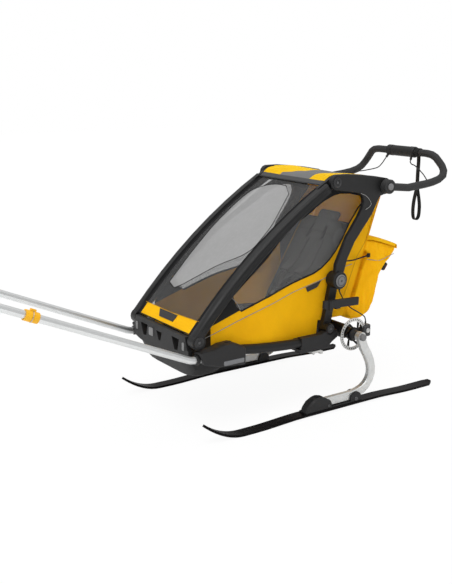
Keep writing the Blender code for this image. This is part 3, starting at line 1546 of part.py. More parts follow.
def seat_back():
    """Padded seat back and its headrest, standing on the seat pad."""
    foot, along, normal = seat_back_frame()
    height = (Vector((BACK_TOP_Y, BACK_TOP_Z)) - foot).length
    half = BACK_HALF_WIDTH
    head = HEADREST_HALF_WIDTH
    end = height + HEADREST_HEIGHT
    turn = BACK_ROUNDING
    part = turn * (1 - math.sqrt(0.5))
    stations = [
        (0.0, half * 0.90, turn, BACK_THICKNESS - turn),
        (part, half * 0.93, part, BACK_THICKNESS - part),
        (turn, half * 0.95, 0.0, BACK_THICKNESS),
        (height * 0.35, half, 0.0, BACK_THICKNESS),
        (height * 0.80, half * 0.98, 0.0, BACK_THICKNESS),
        (height * 0.93, half * 0.90, 0.0, BACK_THICKNESS * 0.95),
        (height * 0.985, half * 0.74, 0.002, BACK_THICKNESS * 0.80),
        (height, head + 0.004, 0.004, BACK_THICKNESS * 0.75),
        (height + 0.012, head, 0.002, BACK_THICKNESS * 0.92),
        (end - 0.010, head * 0.94, 0.002, BACK_THICKNESS * 0.92),
        (end, head * 0.84, 0.010, BACK_THICKNESS * 0.70),
    ]
    rings = []
    for up, wide, low, high in stations:
        ring = []
        for u, part_up in CUSHION:
            y, z = foot + along * up + normal * (low + (high - low) * part_up / CUSHION_CROWN)
            ring.append((wide * u, y, z))
        rings.append(ring)
    return loft(rings)


# Putting the trailer together


def front_end():
    """Foremost point of the tow arms."""
    return ARM_FRONT_Y - ARM_RADIUS * math.sin(ARM_RISE)


def add_bodies(trailer):
    rear_end = BAR_Y + COLLAR_RADIUS
    trailer.body("base", None, (0.0, -(front_end() + rear_end) / 2, 0.0))
    trailer.body("front_frame", "base", (0.0, *FRONT_PIVOT))
    trailer.body("front_cover", "front_frame", (0.0, *diagonal_point(COVER_TOP_AT, COVER_LIFT)))
    trailer.body("top_frame", "front_frame", (0.0, *TOP_PIVOT))
    trailer.body("lower_posts", "base", (0.0, *REAR_PIVOT))
    trailer.body("handlebar", "top_frame", (0.0, *HANDLE_PIVOT))
    trailer.body("twist_grip", "handlebar", (0.0, BAR_Y, BAR_Z))
    trailer.body("wrist_strap", "handlebar", (STRAP_X, BAR_Y, BAR_Z))
    trailer.body("suspension", "base", (0.0, *SWING_PIVOT))
    trailer.body("seat_back", "base", (0.0, *seat_back_hinge()))
    for side, sign in (("left", 1), ("right", -1)):
        trailer.body("tilt_button_" + side, "handlebar", (sign * HANDLE_HUB_OUTER, *HANDLE_PIVOT))
        trailer.body("ski_" + side, "suspension", (sign * SKI_X, *AXLE))
        trailer.body("release_button_" + side, "ski_" + side, (sign * STRUT_OUTER, *AXLE))
        trailer.body("adjuster_" + side, "base", (sign * RAIL_X, ADJUSTER_Y, NODE_BOTTOM_Z))


def add_base(trailer):
    trailer.pair("rail", rail(), "frame_black", "base")
    trailer.pair("rear_node", rear_node(), "plastic_black", "base")
    trailer.pair("receiver", receiver(), "plastic_black", "base")
    trailer.add("front_panel", front_panel(), "plastic_black", "base")
    trailer.add("floor_tray", floor_tray(), "plastic_black", "base")
    trailer.pair("tow_arm", tow_arm(), "aluminium", "base")
    trailer.pair("arm_clip", arm_clip(), "yellow_strap", "base")
    trailer.pair("adjuster", adjuster(), "aluminium", "adjuster")


def add_frames(trailer):
    trailer.pair("diagonal", diagonal(), "frame_black", "front_frame")
    trailer.add("crossbar", crossbar(), "frame_black", "front_frame")
    trailer.pair("upper_frame", upper_frame(), "plastic_black", "top_frame")
    trailer.pair("hinge_cap", hinge_cap(), "cap_grey", "top_frame")
    trailer.pair("lower_post", lower_post(), "frame_black", "lower_posts")
    trailer.pair("stow_bracket", bracket(), "plastic_black", "lower_posts")


def add_running_gear(trailer):
    trailer.add("axle_beam", axle_beam(), "plastic_black", "suspension")
    trailer.pair("caliper", caliper(), "plastic_black", "suspension")
    trailer.pair("ski_hub", ski_hub(), "plastic_black", "ski")
    trailer.pair("rotor", rotor(), "rotor_steel", "ski")
    trailer.pair("strut", strut(), "aluminium", "ski")
    trailer.pair("ski_mount", ski_mount(), "plastic_black", "ski")
    trailer.pair("ski", ski(), "ski_black", "ski")
    trailer.pair("release_button", release_button(), "cap_grey", "release_button")


def add_handlebar(trailer):
    trailer.add("handlebar", handlebar(), "foam_black", "handlebar")
    trailer.pair("tilt_button", tilt_button(), "cap_grey", "tilt_button")
    trailer.add("brake_housing", brake_housing(), "plastic_black", "handlebar")
    trailer.add("twist_grip", twist_grip(), "foam_black", "twist_grip")
    trailer.add("upper_cable_left", upper_cable(1), "cable_black", "handlebar")
    trailer.add("upper_cable_right", upper_cable(-1), "cable_black", "handlebar")
    trailer.pair("lower_cable", lower_cable(), "cable_black", "base")
    trailer.add("wrist_strap", wrist_strap(), "webbing_black", "wrist_strap")


def add_soft_goods(trailer):
    trailer.add("front_cover", front_cover(), "mesh_fabric", "front_cover")
    trailer.add("roof", roof(), "yellow_fabric", "top_frame")
    trailer.pair("side_panel", side_panel(), "yellow_fabric", "base")
    trailer.add("rear_panel", rear_panel(), "yellow_fabric", "base")
    trailer.add("cargo_bag", bag(), "yellow_fabric", "base")
    trailer.add("tail_light", tail_light(), "light_red", "base")
    trailer.add("seat_pad", seat_pad(), "seat_fabric", "base")
    trailer.add("seat_back", seat_back(), "seat_fabric", "seat_back")


def main():
    for obj in list(bpy.data.objects):
        bpy.data.objects.remove(obj, do_unlink=True)
    trailer = Assembly("child_bike_trailer", make_materials())
    add_bodies(trailer)
    add_base(trailer)
    add_frames(trailer)
    add_running_gear(trailer)
    add_handlebar(trailer)
    add_soft_goods(trailer)


main()
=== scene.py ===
import math

import bmesh
import bpy
from mathutils import Euler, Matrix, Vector, noise
from mathutils.geometry import delaunay_2d_cdt


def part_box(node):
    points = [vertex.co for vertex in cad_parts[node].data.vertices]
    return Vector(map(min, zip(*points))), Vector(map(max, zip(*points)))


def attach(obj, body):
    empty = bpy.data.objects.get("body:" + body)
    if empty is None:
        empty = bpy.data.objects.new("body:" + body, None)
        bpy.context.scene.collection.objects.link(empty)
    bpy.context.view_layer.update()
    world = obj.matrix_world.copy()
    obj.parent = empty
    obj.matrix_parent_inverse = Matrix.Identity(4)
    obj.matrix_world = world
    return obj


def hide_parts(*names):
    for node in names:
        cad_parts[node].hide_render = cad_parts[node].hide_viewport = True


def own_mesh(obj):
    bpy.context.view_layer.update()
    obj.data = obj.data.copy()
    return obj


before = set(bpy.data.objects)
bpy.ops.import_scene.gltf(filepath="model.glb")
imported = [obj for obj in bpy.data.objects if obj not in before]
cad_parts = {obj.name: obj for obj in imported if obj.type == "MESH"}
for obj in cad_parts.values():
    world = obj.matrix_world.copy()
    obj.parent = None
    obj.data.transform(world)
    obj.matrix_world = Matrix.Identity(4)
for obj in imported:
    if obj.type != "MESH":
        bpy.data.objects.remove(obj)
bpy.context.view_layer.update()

# Side-view points are (y, z) in the axle's frame, which the row frame has moved by SHIFT along Y
SHIFT = 0.7931525
FRONT_PIVOT = Vector((-0.738, 0.369))
TOP_PIVOT = Vector((-0.081, 0.921))
MIDDLE_PIVOT = Vector((-0.056, 0.519))
REAR_PIVOT = Vector((-0.098, 0.320))
AXLE = Vector((0.0, 0.288))
SIDES = (("left", 1), ("right", -1))


def at(x, y, z):
    return Vector((x, y + SHIFT, z))


def placed(name, data):
    obj = bpy.data.objects.new(name, data)
    bpy.context.scene.collection.objects.link(obj)
    return obj


def add_node(tree, kind, inputs, operation=None):
    """A shader node; each input is a constant or another node's output."""
    node = tree.nodes.new("ShaderNode" + kind)
    if operation:
        node.operation = operation
    for key, value in inputs.items():
        if isinstance(value, bpy.types.NodeSocket):
            tree.links.new(value, node.inputs[key])
        else:
            node.inputs[key].default_value = value
    return node


# Camera, light and floor


def add_camera():
    data = bpy.data.cameras.new("camera")
    data.lens = 54.55
    data.sensor_width = 36.0
    data.clip_end = 60.0
    camera = placed("camera", data)
    camera.location = at(2.90, -2.43, 1.352)
    camera.rotation_euler = Euler((math.radians(75.98), 0.0, math.radians(55.72)), "XYZ")
    bpy.context.scene.camera = camera


def add_world():
    """White to the camera and through the windows; as light it is dimmer towards the horizon."""
    world = bpy.data.worlds.new("studio")
    bpy.context.scene.world = world
    world.use_nodes = True
    tree = world.node_tree
    path = add_node(tree, "LightPath", {}).outputs
    seen = add_node(tree, "Math", {0: path["Is Camera Ray"], 1: path["Is Transmission Ray"]}, "MAXIMUM")
    way = add_node(tree, "TexCoord", {}).outputs["Generated"]
    height = add_node(tree, "SeparateXYZ", {0: way}).outputs[2]
    sky = add_node(tree, "MapRange", {"Value": height, "From Max": 0.8, "To Min": 0.50, "To Max": 0.97})
    level = add_node(tree, "MapRange", {"Value": seen.outputs[0], "To Min": sky.outputs[0], "To Max": 1.0})
    background = tree.nodes["Background"]
    background.inputs["Color"].default_value = (1.0, 1.0, 1.0, 1.0)
    tree.links.new(level.outputs[0], background.inputs["Strength"])


def add_sun():
    data = bpy.data.lights.new("key", "SUN")
    data.energy = 1.5
    data.angle = math.radians(38)
    placed("key", data).rotation_euler = Vector((0.42, -0.62, 1.5)).to_track_quat("Z", "Y").to_euler()


def add_floor():
    """A pale floor, nearly white to the camera, that still takes soft shadows."""
    material = bpy.data.materials.new("pale_floor")
    material.use_nodes = True
    tree = material.node_tree
    bsdf = tree.nodes["Principled BSDF"]
    bsdf.inputs["Base Color"].default_value = (0.90, 0.90, 0.90, 1.0)
    bsdf.inputs["Roughness"].default_value = 0.9
    glow = add_node(tree, "Emission", {"Strength": 1.0})
    seen = add_node(tree, "LightPath", {}).outputs["Is Camera Ray"]
    share = add_node(tree, "Math", {0: seen, 1: 0.93}, "MULTIPLY").outputs[0]
    mix = add_node(tree, "MixShader", {"Fac": share, 1: bsdf.outputs["BSDF"], 2: glow.outputs["Emission"]})
    tree.links.new(mix.outputs["Shader"], tree.nodes["Material Output"].inputs["Surface"])
    mesh = bpy.data.meshes.new("floor")
    size = 16.0
    mesh.from_pydata([(-size, -size, 0), (size, -size, 0), (size, size, 0), (-size, size, 0)], [], [(0, 1, 2, 3)])
    mesh.materials.append(material)
    floor = placed("floor", mesh)
    floor.location.z = -0.0008


# Materials


def rgb(colour):
    """The colour itself, or the grey that one number stands for."""
    return colour if isinstance(colour, tuple) else (colour, colour, colour)


def shade(colour, factor):
    return tuple(min(1.0, part * factor) for part in rgb(colour))


class Surface:
    """A Principled material with helpers for its textures, in metres of the row frame."""

    def __init__(self, name, colour, roughness, metal=0.0, **sockets):
        self.material = bpy.data.materials.new(name)
        self.material.use_nodes = True
        self.tree = self.material.node_tree
        self.bsdf = self.tree.nodes["Principled BSDF"]
        self.colour = rgb(colour)
        sockets.update(Base_Color=(*self.colour, 1.0), Roughness=roughness, Metallic=metal)
        for socket, value in sockets.items():
            self.bsdf.inputs[socket.replace("_", " ")].default_value = value
        self.place = self.node("TexCoord", {}).outputs["Object"]
        self.normal = None
        self.base = None

    def node(self, kind, inputs, operation=None):
        return add_node(self.tree, kind, inputs, operation)

    def drive(self, socket, source):
        self.tree.links.new(source, self.bsdf.inputs[socket])

    def stretched(self, scale):
        return self.node("Mapping", {"Scale": scale, "Vector": self.place}).outputs["Vector"]

    def noise(self, scale, detail=3.0, stretch=None):
        place = self.stretched(stretch) if stretch else self.place
        inputs = {"Scale": scale, "Detail": detail, "Roughness": 0.55, "Vector": place}
        return self.node("TexNoise", inputs).outputs["Fac"]

    def math(self, operation, first, second=0.5):
        return self.node("Math", {0: first, 1: second}, operation).outputs[0]

    def range(self, value, low, high, start=0.0, end=1.0):
        inputs = {"Value": value, "From Min": low, "From Max": high, "To Min": start, "To Max": end}
        return self.node("MapRange", inputs).outputs[0]

    def weave(self, pitch):
        """Height of crossed threads of the given pitch, on any side of a piece."""
        turns = 2 * math.pi / pitch
        wave = self.node("VectorMath", {0: self.stretched((turns, turns, turns))}, "SINE").outputs[0]
        x, y, z = self.node("SeparateXYZ", {0: wave}).outputs
        first, second, third = (self.math("MULTIPLY", a, b) for a, b in ((x, y), (y, z), (z, x)))
        return self.math("ADD", self.math("ADD", first, second), third)

    def tint(self, factor, colour):
        """Mixes a colour over the base where the factor is 1."""
        mix = self.tree.nodes.new("ShaderNodeMix")
        mix.data_type = "RGBA"
        if self.base is None:
            mix.inputs["A"].default_value = (*self.colour, 1.0)
        else:
            self.tree.links.new(self.base, mix.inputs["A"])
        mix.inputs["B"].default_value = (*rgb(colour), 1.0)
        self.tree.links.new(factor, mix.inputs["Factor"])
        self.base = mix.outputs["Result"]
        self.drive("Base Color", self.base)

    def mottle(self, scale, detail, low, high, amount, colour, stretch=None):
        """Blotches of a colour, where a noise lies above low."""
        self.tint(self.range(self.noise(scale, detail, stretch), low, high, 0.0, amount), colour)

    def rough(self, factor, low, high):
        self.drive("Roughness", self.range(factor, 0.0, 1.0, low, high))

    def bump(self, height, strength, distance):
        inputs = {"Strength": strength, "Distance": distance, "Height": height}
        if self.normal is not None:
            inputs["Normal"] = self.normal
        self.normal = self.node("Bump", inputs).outputs["Normal"]
        self.drive("Normal", self.normal)

    def round_edges(self, radius):
        node = self.node("Bevel", {"Radius": radius})
        node.samples = 4
        self.normal = node.outputs["Normal"]
        self.drive("Normal", self.normal)
        return self.normal

    def edges(self, radius):
        """1 along sharp edges and 0 on open faces."""
        facing = self.node("NewGeometry", {}).outputs["Normal"]
        dot = self.node("VectorMath", {0: self.round_edges(radius), 1: facing}, "DOT_PRODUCT")
        return self.range(dot.outputs["Value"], 0.995, 0.86)


def cloth(name, colour, pitch, roughness=0.82, variation=0.12, relief=1.0, **sockets):
    surface = Surface(name, colour, roughness, Specular_IOR_Level=0.12, **sockets)
    threads = surface.weave(pitch)
    dark = shade(colour, 1.0 - variation)
    surface.tint(surface.range(threads, -0.6, 0.9), shade(colour, 1.0 + variation))
    surface.mottle(9.0, 4.0, 0.35, 0.75, 0.7, dark)
    surface.mottle(160.0, 2.0, 0.45, 0.8, 0.35, dark)
    surface.bump(surface.noise(26.0, 3.0), 0.25 * relief, 0.006)
    surface.bump(surface.noise(420.0, 2.0), 0.3 * relief, 0.0006)
    surface.bump(threads, 0.35 * relief, pitch * 0.25)
    return surface


def bright(name, colour, pitch=0.0011):
    """Thin coated cloth that lets light through."""
    return cloth(name, colour, pitch, Subsurface_Weight=0.5, Subsurface_Radius=(1.0, 1.0, 1.0), Subsurface_Scale=0.006)


def moulded(name, colour, roughness, wear, grain=900.0, radius=0.0012):
    """Plastic or paint, worn along its edges."""
    surface = Surface(name, colour, roughness, Specular_IOR_Level=0.30)
    edge = surface.edges(radius)
    worn = surface.math("MULTIPLY", edge, surface.range(surface.noise(60.0, 4.0), 0.35, 0.6))
    surface.mottle(14.0, 4.0, 0.3, 0.8, 0.6, shade(colour, 1.35))
    surface.tint(surface.math("MULTIPLY", worn, 0.55), wear)
    surface.rough(surface.noise(35.0, 4.0), roughness - 0.08, roughness + 0.10)
    surface.bump(surface.noise(grain, 2.0), 0.22, 0.0004)
    return surface


def bare_metal(name, colour, roughness, stretch):
    surface = Surface(name, colour, roughness, 1.0)
    surface.round_edges(0.001)
    surface.mottle(12.0, 4.0, 0.35, 0.75, 0.5, shade(colour, 0.88))
    lines = surface.noise(1.0, 3.0, stretch)
    surface.tint(surface.range(lines, 0.4, 0.7, 0.0, 0.35), shade(colour, 0.80))
    surface.rough(lines, roughness - 0.06, roughness + 0.12)
    surface.bump(lines, 0.08, 0.0002)
    return surface


def disc_steel():
    surface = Surface("brushed_disc_steel", (0.60, 0.60, 0.59), 0.30, 1.0, Anisotropic=0.5)
    offset = surface.node("VectorMath", {0: surface.place, 1: at(0.0, *AXLE)}, "SUBTRACT").outputs[0]
    flat = surface.node("VectorMath", {0: offset, 1: (0.0, 1.0, 1.0)}, "MULTIPLY").outputs[0]
    radius = surface.node("VectorMath", {0: flat}, "LENGTH").outputs["Value"]
    rings = surface.math("SINE", surface.math("MULTIPLY", radius, 5200.0))
    surface.tint(surface.range(rings, -1.0, 1.0, 0.0, 0.3), 0.40)
    surface.mottle(40.0, 4.0, 0.4, 0.7, 0.5, (0.42, 0.42, 0.41))
    # Dark dots round the rim: painted shade in place of the drilled holes, which the disc's mesh does not have.
    surface.tint(painted_hole_shade(surface, flat, radius), 0.030)
    surface.tint(surface.range(radius, 0.0545, 0.0530), (0.022, 0.022, 0.023))
    surface.rough(surface.noise(90.0, 3.0), 0.24, 0.42)
    surface.bump(rings, 0.12, 0.0002)
    return surface


def painted_hole_shade(surface, offset, radius):
    """1 at the small drillings round the rim of the disc, which are not cut but painted as dark dots of painted shade.
    """
    _, y, z = surface.node("SeparateXYZ", {0: offset}).outputs
    turn = surface.math("SINE", surface.math("MULTIPLY", surface.math("ARCTAN2", z, y), 36.0))
    ring = surface.range(surface.math("ABSOLUTE", surface.math("SUBTRACT", radius, 0.0622)), 0.0036, 0.0026)
    return surface.math("MULTIPLY", ring, surface.range(turn, 0.25, 0.5))


def film(name, colour, alpha):
    surface = Surface(name, colour, 0.34, Alpha=alpha, Specular_IOR_Level=0.15)
    surface.mottle(5.0, 4.0, 0.35, 0.75, 0.6, shade(colour, 0.88))
    surface.mottle(1.0, 3.0, 0.45, 0.75, 0.4, shade(colour, 1.12), (70.0, 70.0, 6.0))
    surface.bump(surface.noise(16.0, 3.0), 0.25, 0.004)
    surface.rough(surface.noise(30.0, 3.0), 0.26, 0.46)
    return surface


def webbing():
    surface = Surface("black_webbing", 0.012, 0.80, Specular_IOR_Level=0.15)
    ribs = surface.weave(0.0016)
    surface.tint(surface.range(ribs, -0.4, 0.8), 0.030)
    surface.mottle(60.0, 3.0, 0.45, 0.75, 0.5, 0.022)
    surface.bump(ribs, 0.6, 0.0006)
    return surface


def ski_surface():
    surface = Surface("black_ski_topsheet", (0.0045, 0.0036, 0.0040), 0.34, Specular_IOR_Level=0.04)
    surface.round_edges(0.0012)
    streaks = surface.noise(1.0, 4.0, (60.0, 5.0, 60.0))
    surface.tint(surface.range(streaks, 0.45, 0.72, 0.0, 0.7), (0.010, 0.0085, 0.009))
    surface.mottle(240.0, 3.0, 0.62, 0.75, 0.4, 0.030)
    surface.rough(streaks, 0.22, 0.44)
    surface.bump(surface.noise(300.0, 2.0), 0.1, 0.0003)
    return surface


def reflector():
    surface = Surface("grey_reflector", (0.115, 0.118, 0.126), 0.30, Coat_Weight=0.4)
    cells = surface.weave(0.0045)
    surface.tint(surface.range(cells, -0.5, 0.8), (0.20, 0.205, 0.215))
    surface.bump(cells, 0.5, 0.0006)
    return surface


# Look: name, colour, roughness, worn colour, grain of the surface, radius of the worn edge
MOULDED = {
    "frame": ("satin_black_tube", (0.0065, 0.0065, 0.0068), 0.42, 0.07, 500.0),
    "plastic": ("moulded_black", (0.0092, 0.0092, 0.0096), 0.50, 0.10),
    "grey": ("moulded_grey", (0.150, 0.150, 0.152), 0.45, 0.32),
    "foam": ("foam_sleeve", (0.026, 0.026, 0.0265), 0.78, 0.07, 1500.0),
    "rubber": ("black_rubber", 0.012, 0.60, 0.05),
    "cable": ("cable_jacket", 0.010, 0.40, 0.05, 1800.0, 0.0004),
    "strap_yellow": ("yellow_strap", (0.80, 0.40, 0.010), 0.45, (0.90, 0.60, 0.10)),
    "lens": ("red_lens", (0.50, 0.020, 0.012), 0.16, (0.6, 0.1, 0.08), 700.0),
    "plate": ("bare_label", (0.018, 0.018, 0.0195), 0.36, 0.08, 300.0),
    "tab": ("pale_tab", 0.17, 0.40, 0.3),
    "panel": ("dark_panel", (0.0100, 0.0100, 0.0104), 0.50, 0.09),
    "casting": ("receiver_moulding", (0.0120, 0.0120, 0.0125), 0.50, 0.09),
    "hub": ("dark_hub", (0.020, 0.020, 0.021), 0.40, 0.14),
    "caliper": ("caliper_body", (0.035, 0.035, 0.036), 0.45, 0.3),
    "cap": ("pivot_cap", (0.020, 0.020, 0.021), 0.38, 0.16),
    "bolt": ("dark_bolt", (0.060, 0.060, 0.062), 0.35, 0.22),
}
# Look: name, colour, roughness, how the brushed lines are stretched
METALS = {
    "anodised": ("anodised_aluminium", (0.72, 0.73, 0.73), 0.38, (900.0, 30.0, 900.0)),
    "strut": ("matt_aluminium", (0.64, 0.65, 0.645), 0.44, (500.0, 60.0, 60.0)),
    "zinc": ("bright_zinc", (0.52, 0.52, 0.51), 0.28, (600.0, 600.0, 600.0)),
}
# Look: name, colour, thread pitch, roughness, variation, relief
CLOTHS = {
    "roof_grey": ("grey_roof_cloth", (0.165, 0.165, 0.163), 0.0014, 0.7, 0.18),
    "binding": ("black_binding", (0.014, 0.014, 0.0145), 0.0012, 0.8, 0.3),
    "seat": ("grey_seat_cloth", (0.098, 0.097, 0.095), 0.0018, 0.88, 0.16, 0.3),
    "piping": ("grey_piping", (0.30, 0.30, 0.29), 0.0010, 0.55, 0.2),
    "stitch": ("ochre_thread", (0.60, 0.31, 0.02), 0.0012, 0.8, 0.2),
    "hem_grey": ("dark_roof_hem", (0.070, 0.070, 0.071), 0.0014, 0.75, 0.18),
}
BRIGHTS = {
    "yellow": ("yellow_cabin_cloth", (0.97, 0.432, 0.002)),
    "cover_yellow": ("yellow_band_cloth", (0.94, 0.430, 0.003)),
    "roof_yellow": ("yellow_roof_cloth", (0.78, 0.43, 0.005)),
    "bag_yellow": ("yellow_bag_cloth", (0.93, 0.455, 0.002), 0.0013),
}
# The table's slot of a piece, from its first look
SLOTS = {
    **dict.fromkeys(("binding", "webbing"), "webbing_black"),
    **dict.fromkeys(("yellow", "bag_yellow", "roof_grey", "stitch"), "yellow_fabric"),
    **dict.fromkeys(("piping", "grey", "reflector", "tab"), "cap_grey"),
    **dict.fromkeys(("plastic", "rubber", "cap", "bolt", "plate"), "plastic_black"),
    "mesh": "mesh_fabric",
    "seat": "seat_fabric",
    "lens": "light_red",
    "cable": "cable_black",
    "zinc": "aluminium",
}


def make_looks():
    made = {}
    for make, table in ((moulded, MOULDED), (bare_metal, METALS), (cloth, CLOTHS), (bright, BRIGHTS)):
        made.update({look: make(*values) for look, values in table.items()})
    made["foam"].bump(made["foam"].noise(2600.0, 1.0), 0.5, 0.0005)
    made["mesh"] = cloth("dark_insect_mesh", (0.090, 0.090, 0.091), 0.0016, 0.75, 0.25, Alpha=0.42)
    made["film"] = film("hazy_clear_film", 0.320, 0.72)
    made["side_film"] = film("tinted_film", 0.250, 0.20)
    made["webbing"] = webbing()
    made["ski"] = ski_surface()
    made["reflector"] = reflector()
    made["steel"] = disc_steel()
    return {look: surface.material for look, surface in made.items()}


# Shapes


def finished(obj, body, look, replaced=(), slot=None):
    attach(obj, body)
    slot or SLOTS[look]
    if replaced:
        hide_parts(*replaced)
    return obj


def folding(obj, height=0.32, keep=0.25):
    """Gives the piece a copy of its mesh of its own."""
    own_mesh(obj)
    return obj


def applied(obj):
    """Puts the modifiers' result into the object's mesh."""
    graph = bpy.context.evaluated_depsgraph_get()
    mesh = bpy.data.meshes.new_from_object(obj.evaluated_get(graph))
    obj.modifiers.clear()
    old = obj.data
    obj.data = mesh
    mesh.name = obj.name
    bpy.data.meshes.remove(old)
    return obj


def subdivide(obj, levels):
    subdivision = obj.modifiers.new("subdivision", "SUBSURF")
    subdivision.levels = subdivision.render_levels = levels


def face_out(mesh, merge=0.0):
    """Turns the faces outwards, once points closer than merge are joined."""
    work = bmesh.new()
    work.from_mesh(mesh)
    if merge:
        bmesh.ops.remove_doubles(work, verts=work.verts, dist=merge)
    bmesh.ops.recalc_face_normals(work, faces=work.faces)
    work.to_mesh(mesh)
    work.free()


def piece(name, verts, faces, look, kinds=None, thickness=0.0, bevel=0.0, levels=0, angle=40.0, segments=2):
    """A named mesh with its looks; thickness, bevel and levels are put into the mesh."""
    mesh = bpy.data.meshes.new(name)
    mesh.from_pydata([tuple(point) for point in verts], [], faces)
    obj = placed(name, mesh)
    for each in [look] if isinstance(look, str) else look:
        mesh.materials.append(looks[each])
    if kinds:
        mesh.polygons.foreach_set("material_index", kinds)
    if thickness:
        solid = obj.modifiers.new("thickness", "SOLIDIFY")
        solid.thickness = abs(thickness)
        solid.offset = -1.0 if thickness > 0 else 1.0
    else:
        face_out(mesh)
    if bevel:
        edge = obj.modifiers.new("bevel", "BEVEL")
        edge.width = bevel
        edge.segments = segments
        edge.limit_method = "ANGLE"
        edge.angle_limit = math.radians(angle)
    if levels:
        subdivide(obj, levels)
    if obj.modifiers:
        bpy.context.view_layer.update()
        applied(obj)
    obj.data.shade_smooth()
    obj.data.set_sharp_from_angle(angle=math.radians(angle))
    return obj


def spline(a, b, c, d, t):
    """Point of a Catmull-Rom curve between b and c."""
    return 0.5 * (2 * b + (c - a) * t + (2 * a - 5 * b + 4 * c - d) * t**2 + (3 * b - a - 3 * c + d) * t**3)


def curve(points, count):
    """Points evenly spread in parameter on a curve through points."""
    known = [Vector(point) for point in points]
    known = [2 * known[0] - known[1], *known, 2 * known[-1] - known[-2]]
    spans = len(known) - 3
    result = []
    for i in range(count):
        place = i * spans / (count - 1)
        span = min(int(place), spans - 1)
        result.append(spline(*known[span : span + 4], place - span))
    return result


def closed_curve(points, per=3):
    """A closed curve through flat points, with per points for each."""
    known = [Vector(point) for point in points]
    result = []
    for i in range(len(known)):
        near = [known[(i + k) % len(known)] for k in (-1, 0, 1, 2)]
        result += [spline(*near, k / per) for k in range(per)]
    return result


def skin(rings, closed=True, caps=True):
    """Faces between rings of equal length, given as lists of points."""
    verts = [point for ring in rings for point in ring]
    count = len(rings[0])
    faces = []
    for r in range(len(rings) - 1):
        for i in range(count if closed else count - 1):
            j = (i + 1) % count
            faces.append((r * count + i, r * count + j, (r + 1) * count + j, (r + 1) * count + i))
    if caps and closed:
        faces.append(tuple(range(count))[::-1])
        faces.append(tuple((len(rings) - 1) * count + i for i in range(count)))
    return verts, faces


def round_points(centre, side, up, radius, angles):
    """Points about centre at angles in degrees, from side towards up."""
    turns = [math.radians(angle) for angle in angles]
    return [centre + (side * math.cos(turn) + up * math.sin(turn)) * radius for turn in turns]


def full_turn(count):
    return [360 * i / count for i in range(count)]


def circle(centre, radius, count):
    return round_points(Vector(centre), Vector((1, 0)), Vector((0, 1)), radius, full_turn(count))


def way_along(points, i):
    return (points[min(i + 1, len(points) - 1)] - points[max(i - 1, 0)]).normalized()


def rod(name, points, radius, look, body, sides=8, replaced=(), slot=None):
    """A round bar along points, turning as little as possible."""
    up = None
    rings = []
    for i, point in enumerate(points):
        along = way_along(points, i)
        if up is None:
            up = Vector((0, 0, 1)) if abs(along.z) < 0.9 else Vector((0, 1, 0))
        side = along.cross(up).normalized()
        up = side.cross(along).normalized()
        rings.append(round_points(point, side, up, radius, full_turn(sides)))
    return finished(piece(name, *skin(rings), look, angle=60), body, look, replaced, slot)


# The section of webbing, in shares of its width and thickness
WEBBING_SECTION = (
    (-0.5, -0.3), (-0.46, -0.5), (0.46, -0.5), (0.5, -0.3), (0.5, 0.3), (0.46, 0.5), (-0.46, 0.5), (-0.5, 0.3),
)


def strap(name, points, width, thickness, look, body, replaced=(), acrosses=None):
    """Flat webbing along points, with its width along X or along the direction given at each point."""
    rings = []
    for i, point in enumerate(points):
        along = way_along(points, i)
        across = acrosses[i] if acrosses else Vector((1, 0, 0))
        across = (across - along * across.dot(along)).normalized()
        out = along.cross(across)
        rings.append([point + across * width * u + out * thickness * v for u, v in WEBBING_SECTION])
    return finished(piece(name, *skin(rings), look, angle=50), body, look, replaced)


def turned(name, profile, centre, sign, look, body, sides=48):
    """A solid turned about an axis along X; the profile is (radius, distance along X)."""
    rings = []
    for turn in map(math.radians, full_turn(sides)):
        y, z = math.cos(turn), math.sin(turn)
        rings.append([at(sign * x, centre[0] + radius * y, centre[1] + radius * z) for radius, x in profile])
    rings.append(rings[0])
    obj = piece(name, *skin(rings, closed=False, caps=False), look, angle=35)
    face_out(obj.data, 1e-6)
    return finished(obj, body, look)


def plate(name, outline, near, far, place, look, body, bevel, replaced=(), segments=2):
    """A flat outline (u, v) between two depths; place turns (u, v, depth) into a point."""
    count = len(outline)
    verts = [place(u, v, depth) for depth in (near, far) for u, v in outline]
    faces = [tuple(range(count))[::-1], tuple(range(count, 2 * count))]
    faces += [(i, (i + 1) % count, count + (i + 1) % count, count + i) for i in range(count)]
    obj = piece(name, verts, faces, look, bevel=bevel, angle=30, segments=segments)
    return finished(obj, body, look, replaced)


def side_view(u, v, depth):
    return at(depth, u, v)


def rounded_box(low, high, radius, count=5):
    """A rectangle with round corners, as (u, v) points."""
    u0, v0 = low[0] + radius, low[1] + radius
    u1, v1 = high[0] - radius, high[1] - radius
    result = []
    for corner, (u, v) in enumerate(((u1, v1), (u0, v1), (u0, v0), (u1, v0))):
        for i in range(count + 1):
            angle = math.radians(90 * corner + 90 * i / count)
            result.append((u + radius * math.cos(angle), v + radius * math.sin(angle)))
    return result


def spread(points, step):
    """The line's points with more between them, one at least every step, without the last."""
    result = []
    for a, b in zip(points, points[1:]):
        parts = max(1, math.ceil((b - a).length / step))
        result += [a.lerp(b, k / parts) for k in range(parts)]
    return result


def signed_area(ring):
    return sum(a[0] * b[1] - a[1] * b[0] for a, b in zip(ring, ring[1:] + ring[:1])) / 2


def inside(point, ring):
    hit = False
    for a, b in zip(ring, ring[1:] + ring[:1]):
        if (a[1] > point[1]) != (b[1] > point[1]):
            if point[0] < (b[0] - a[0]) * (point[1] - a[1]) / (b[1] - a[1]) + a[0]:
                hit = not hit
    return hit


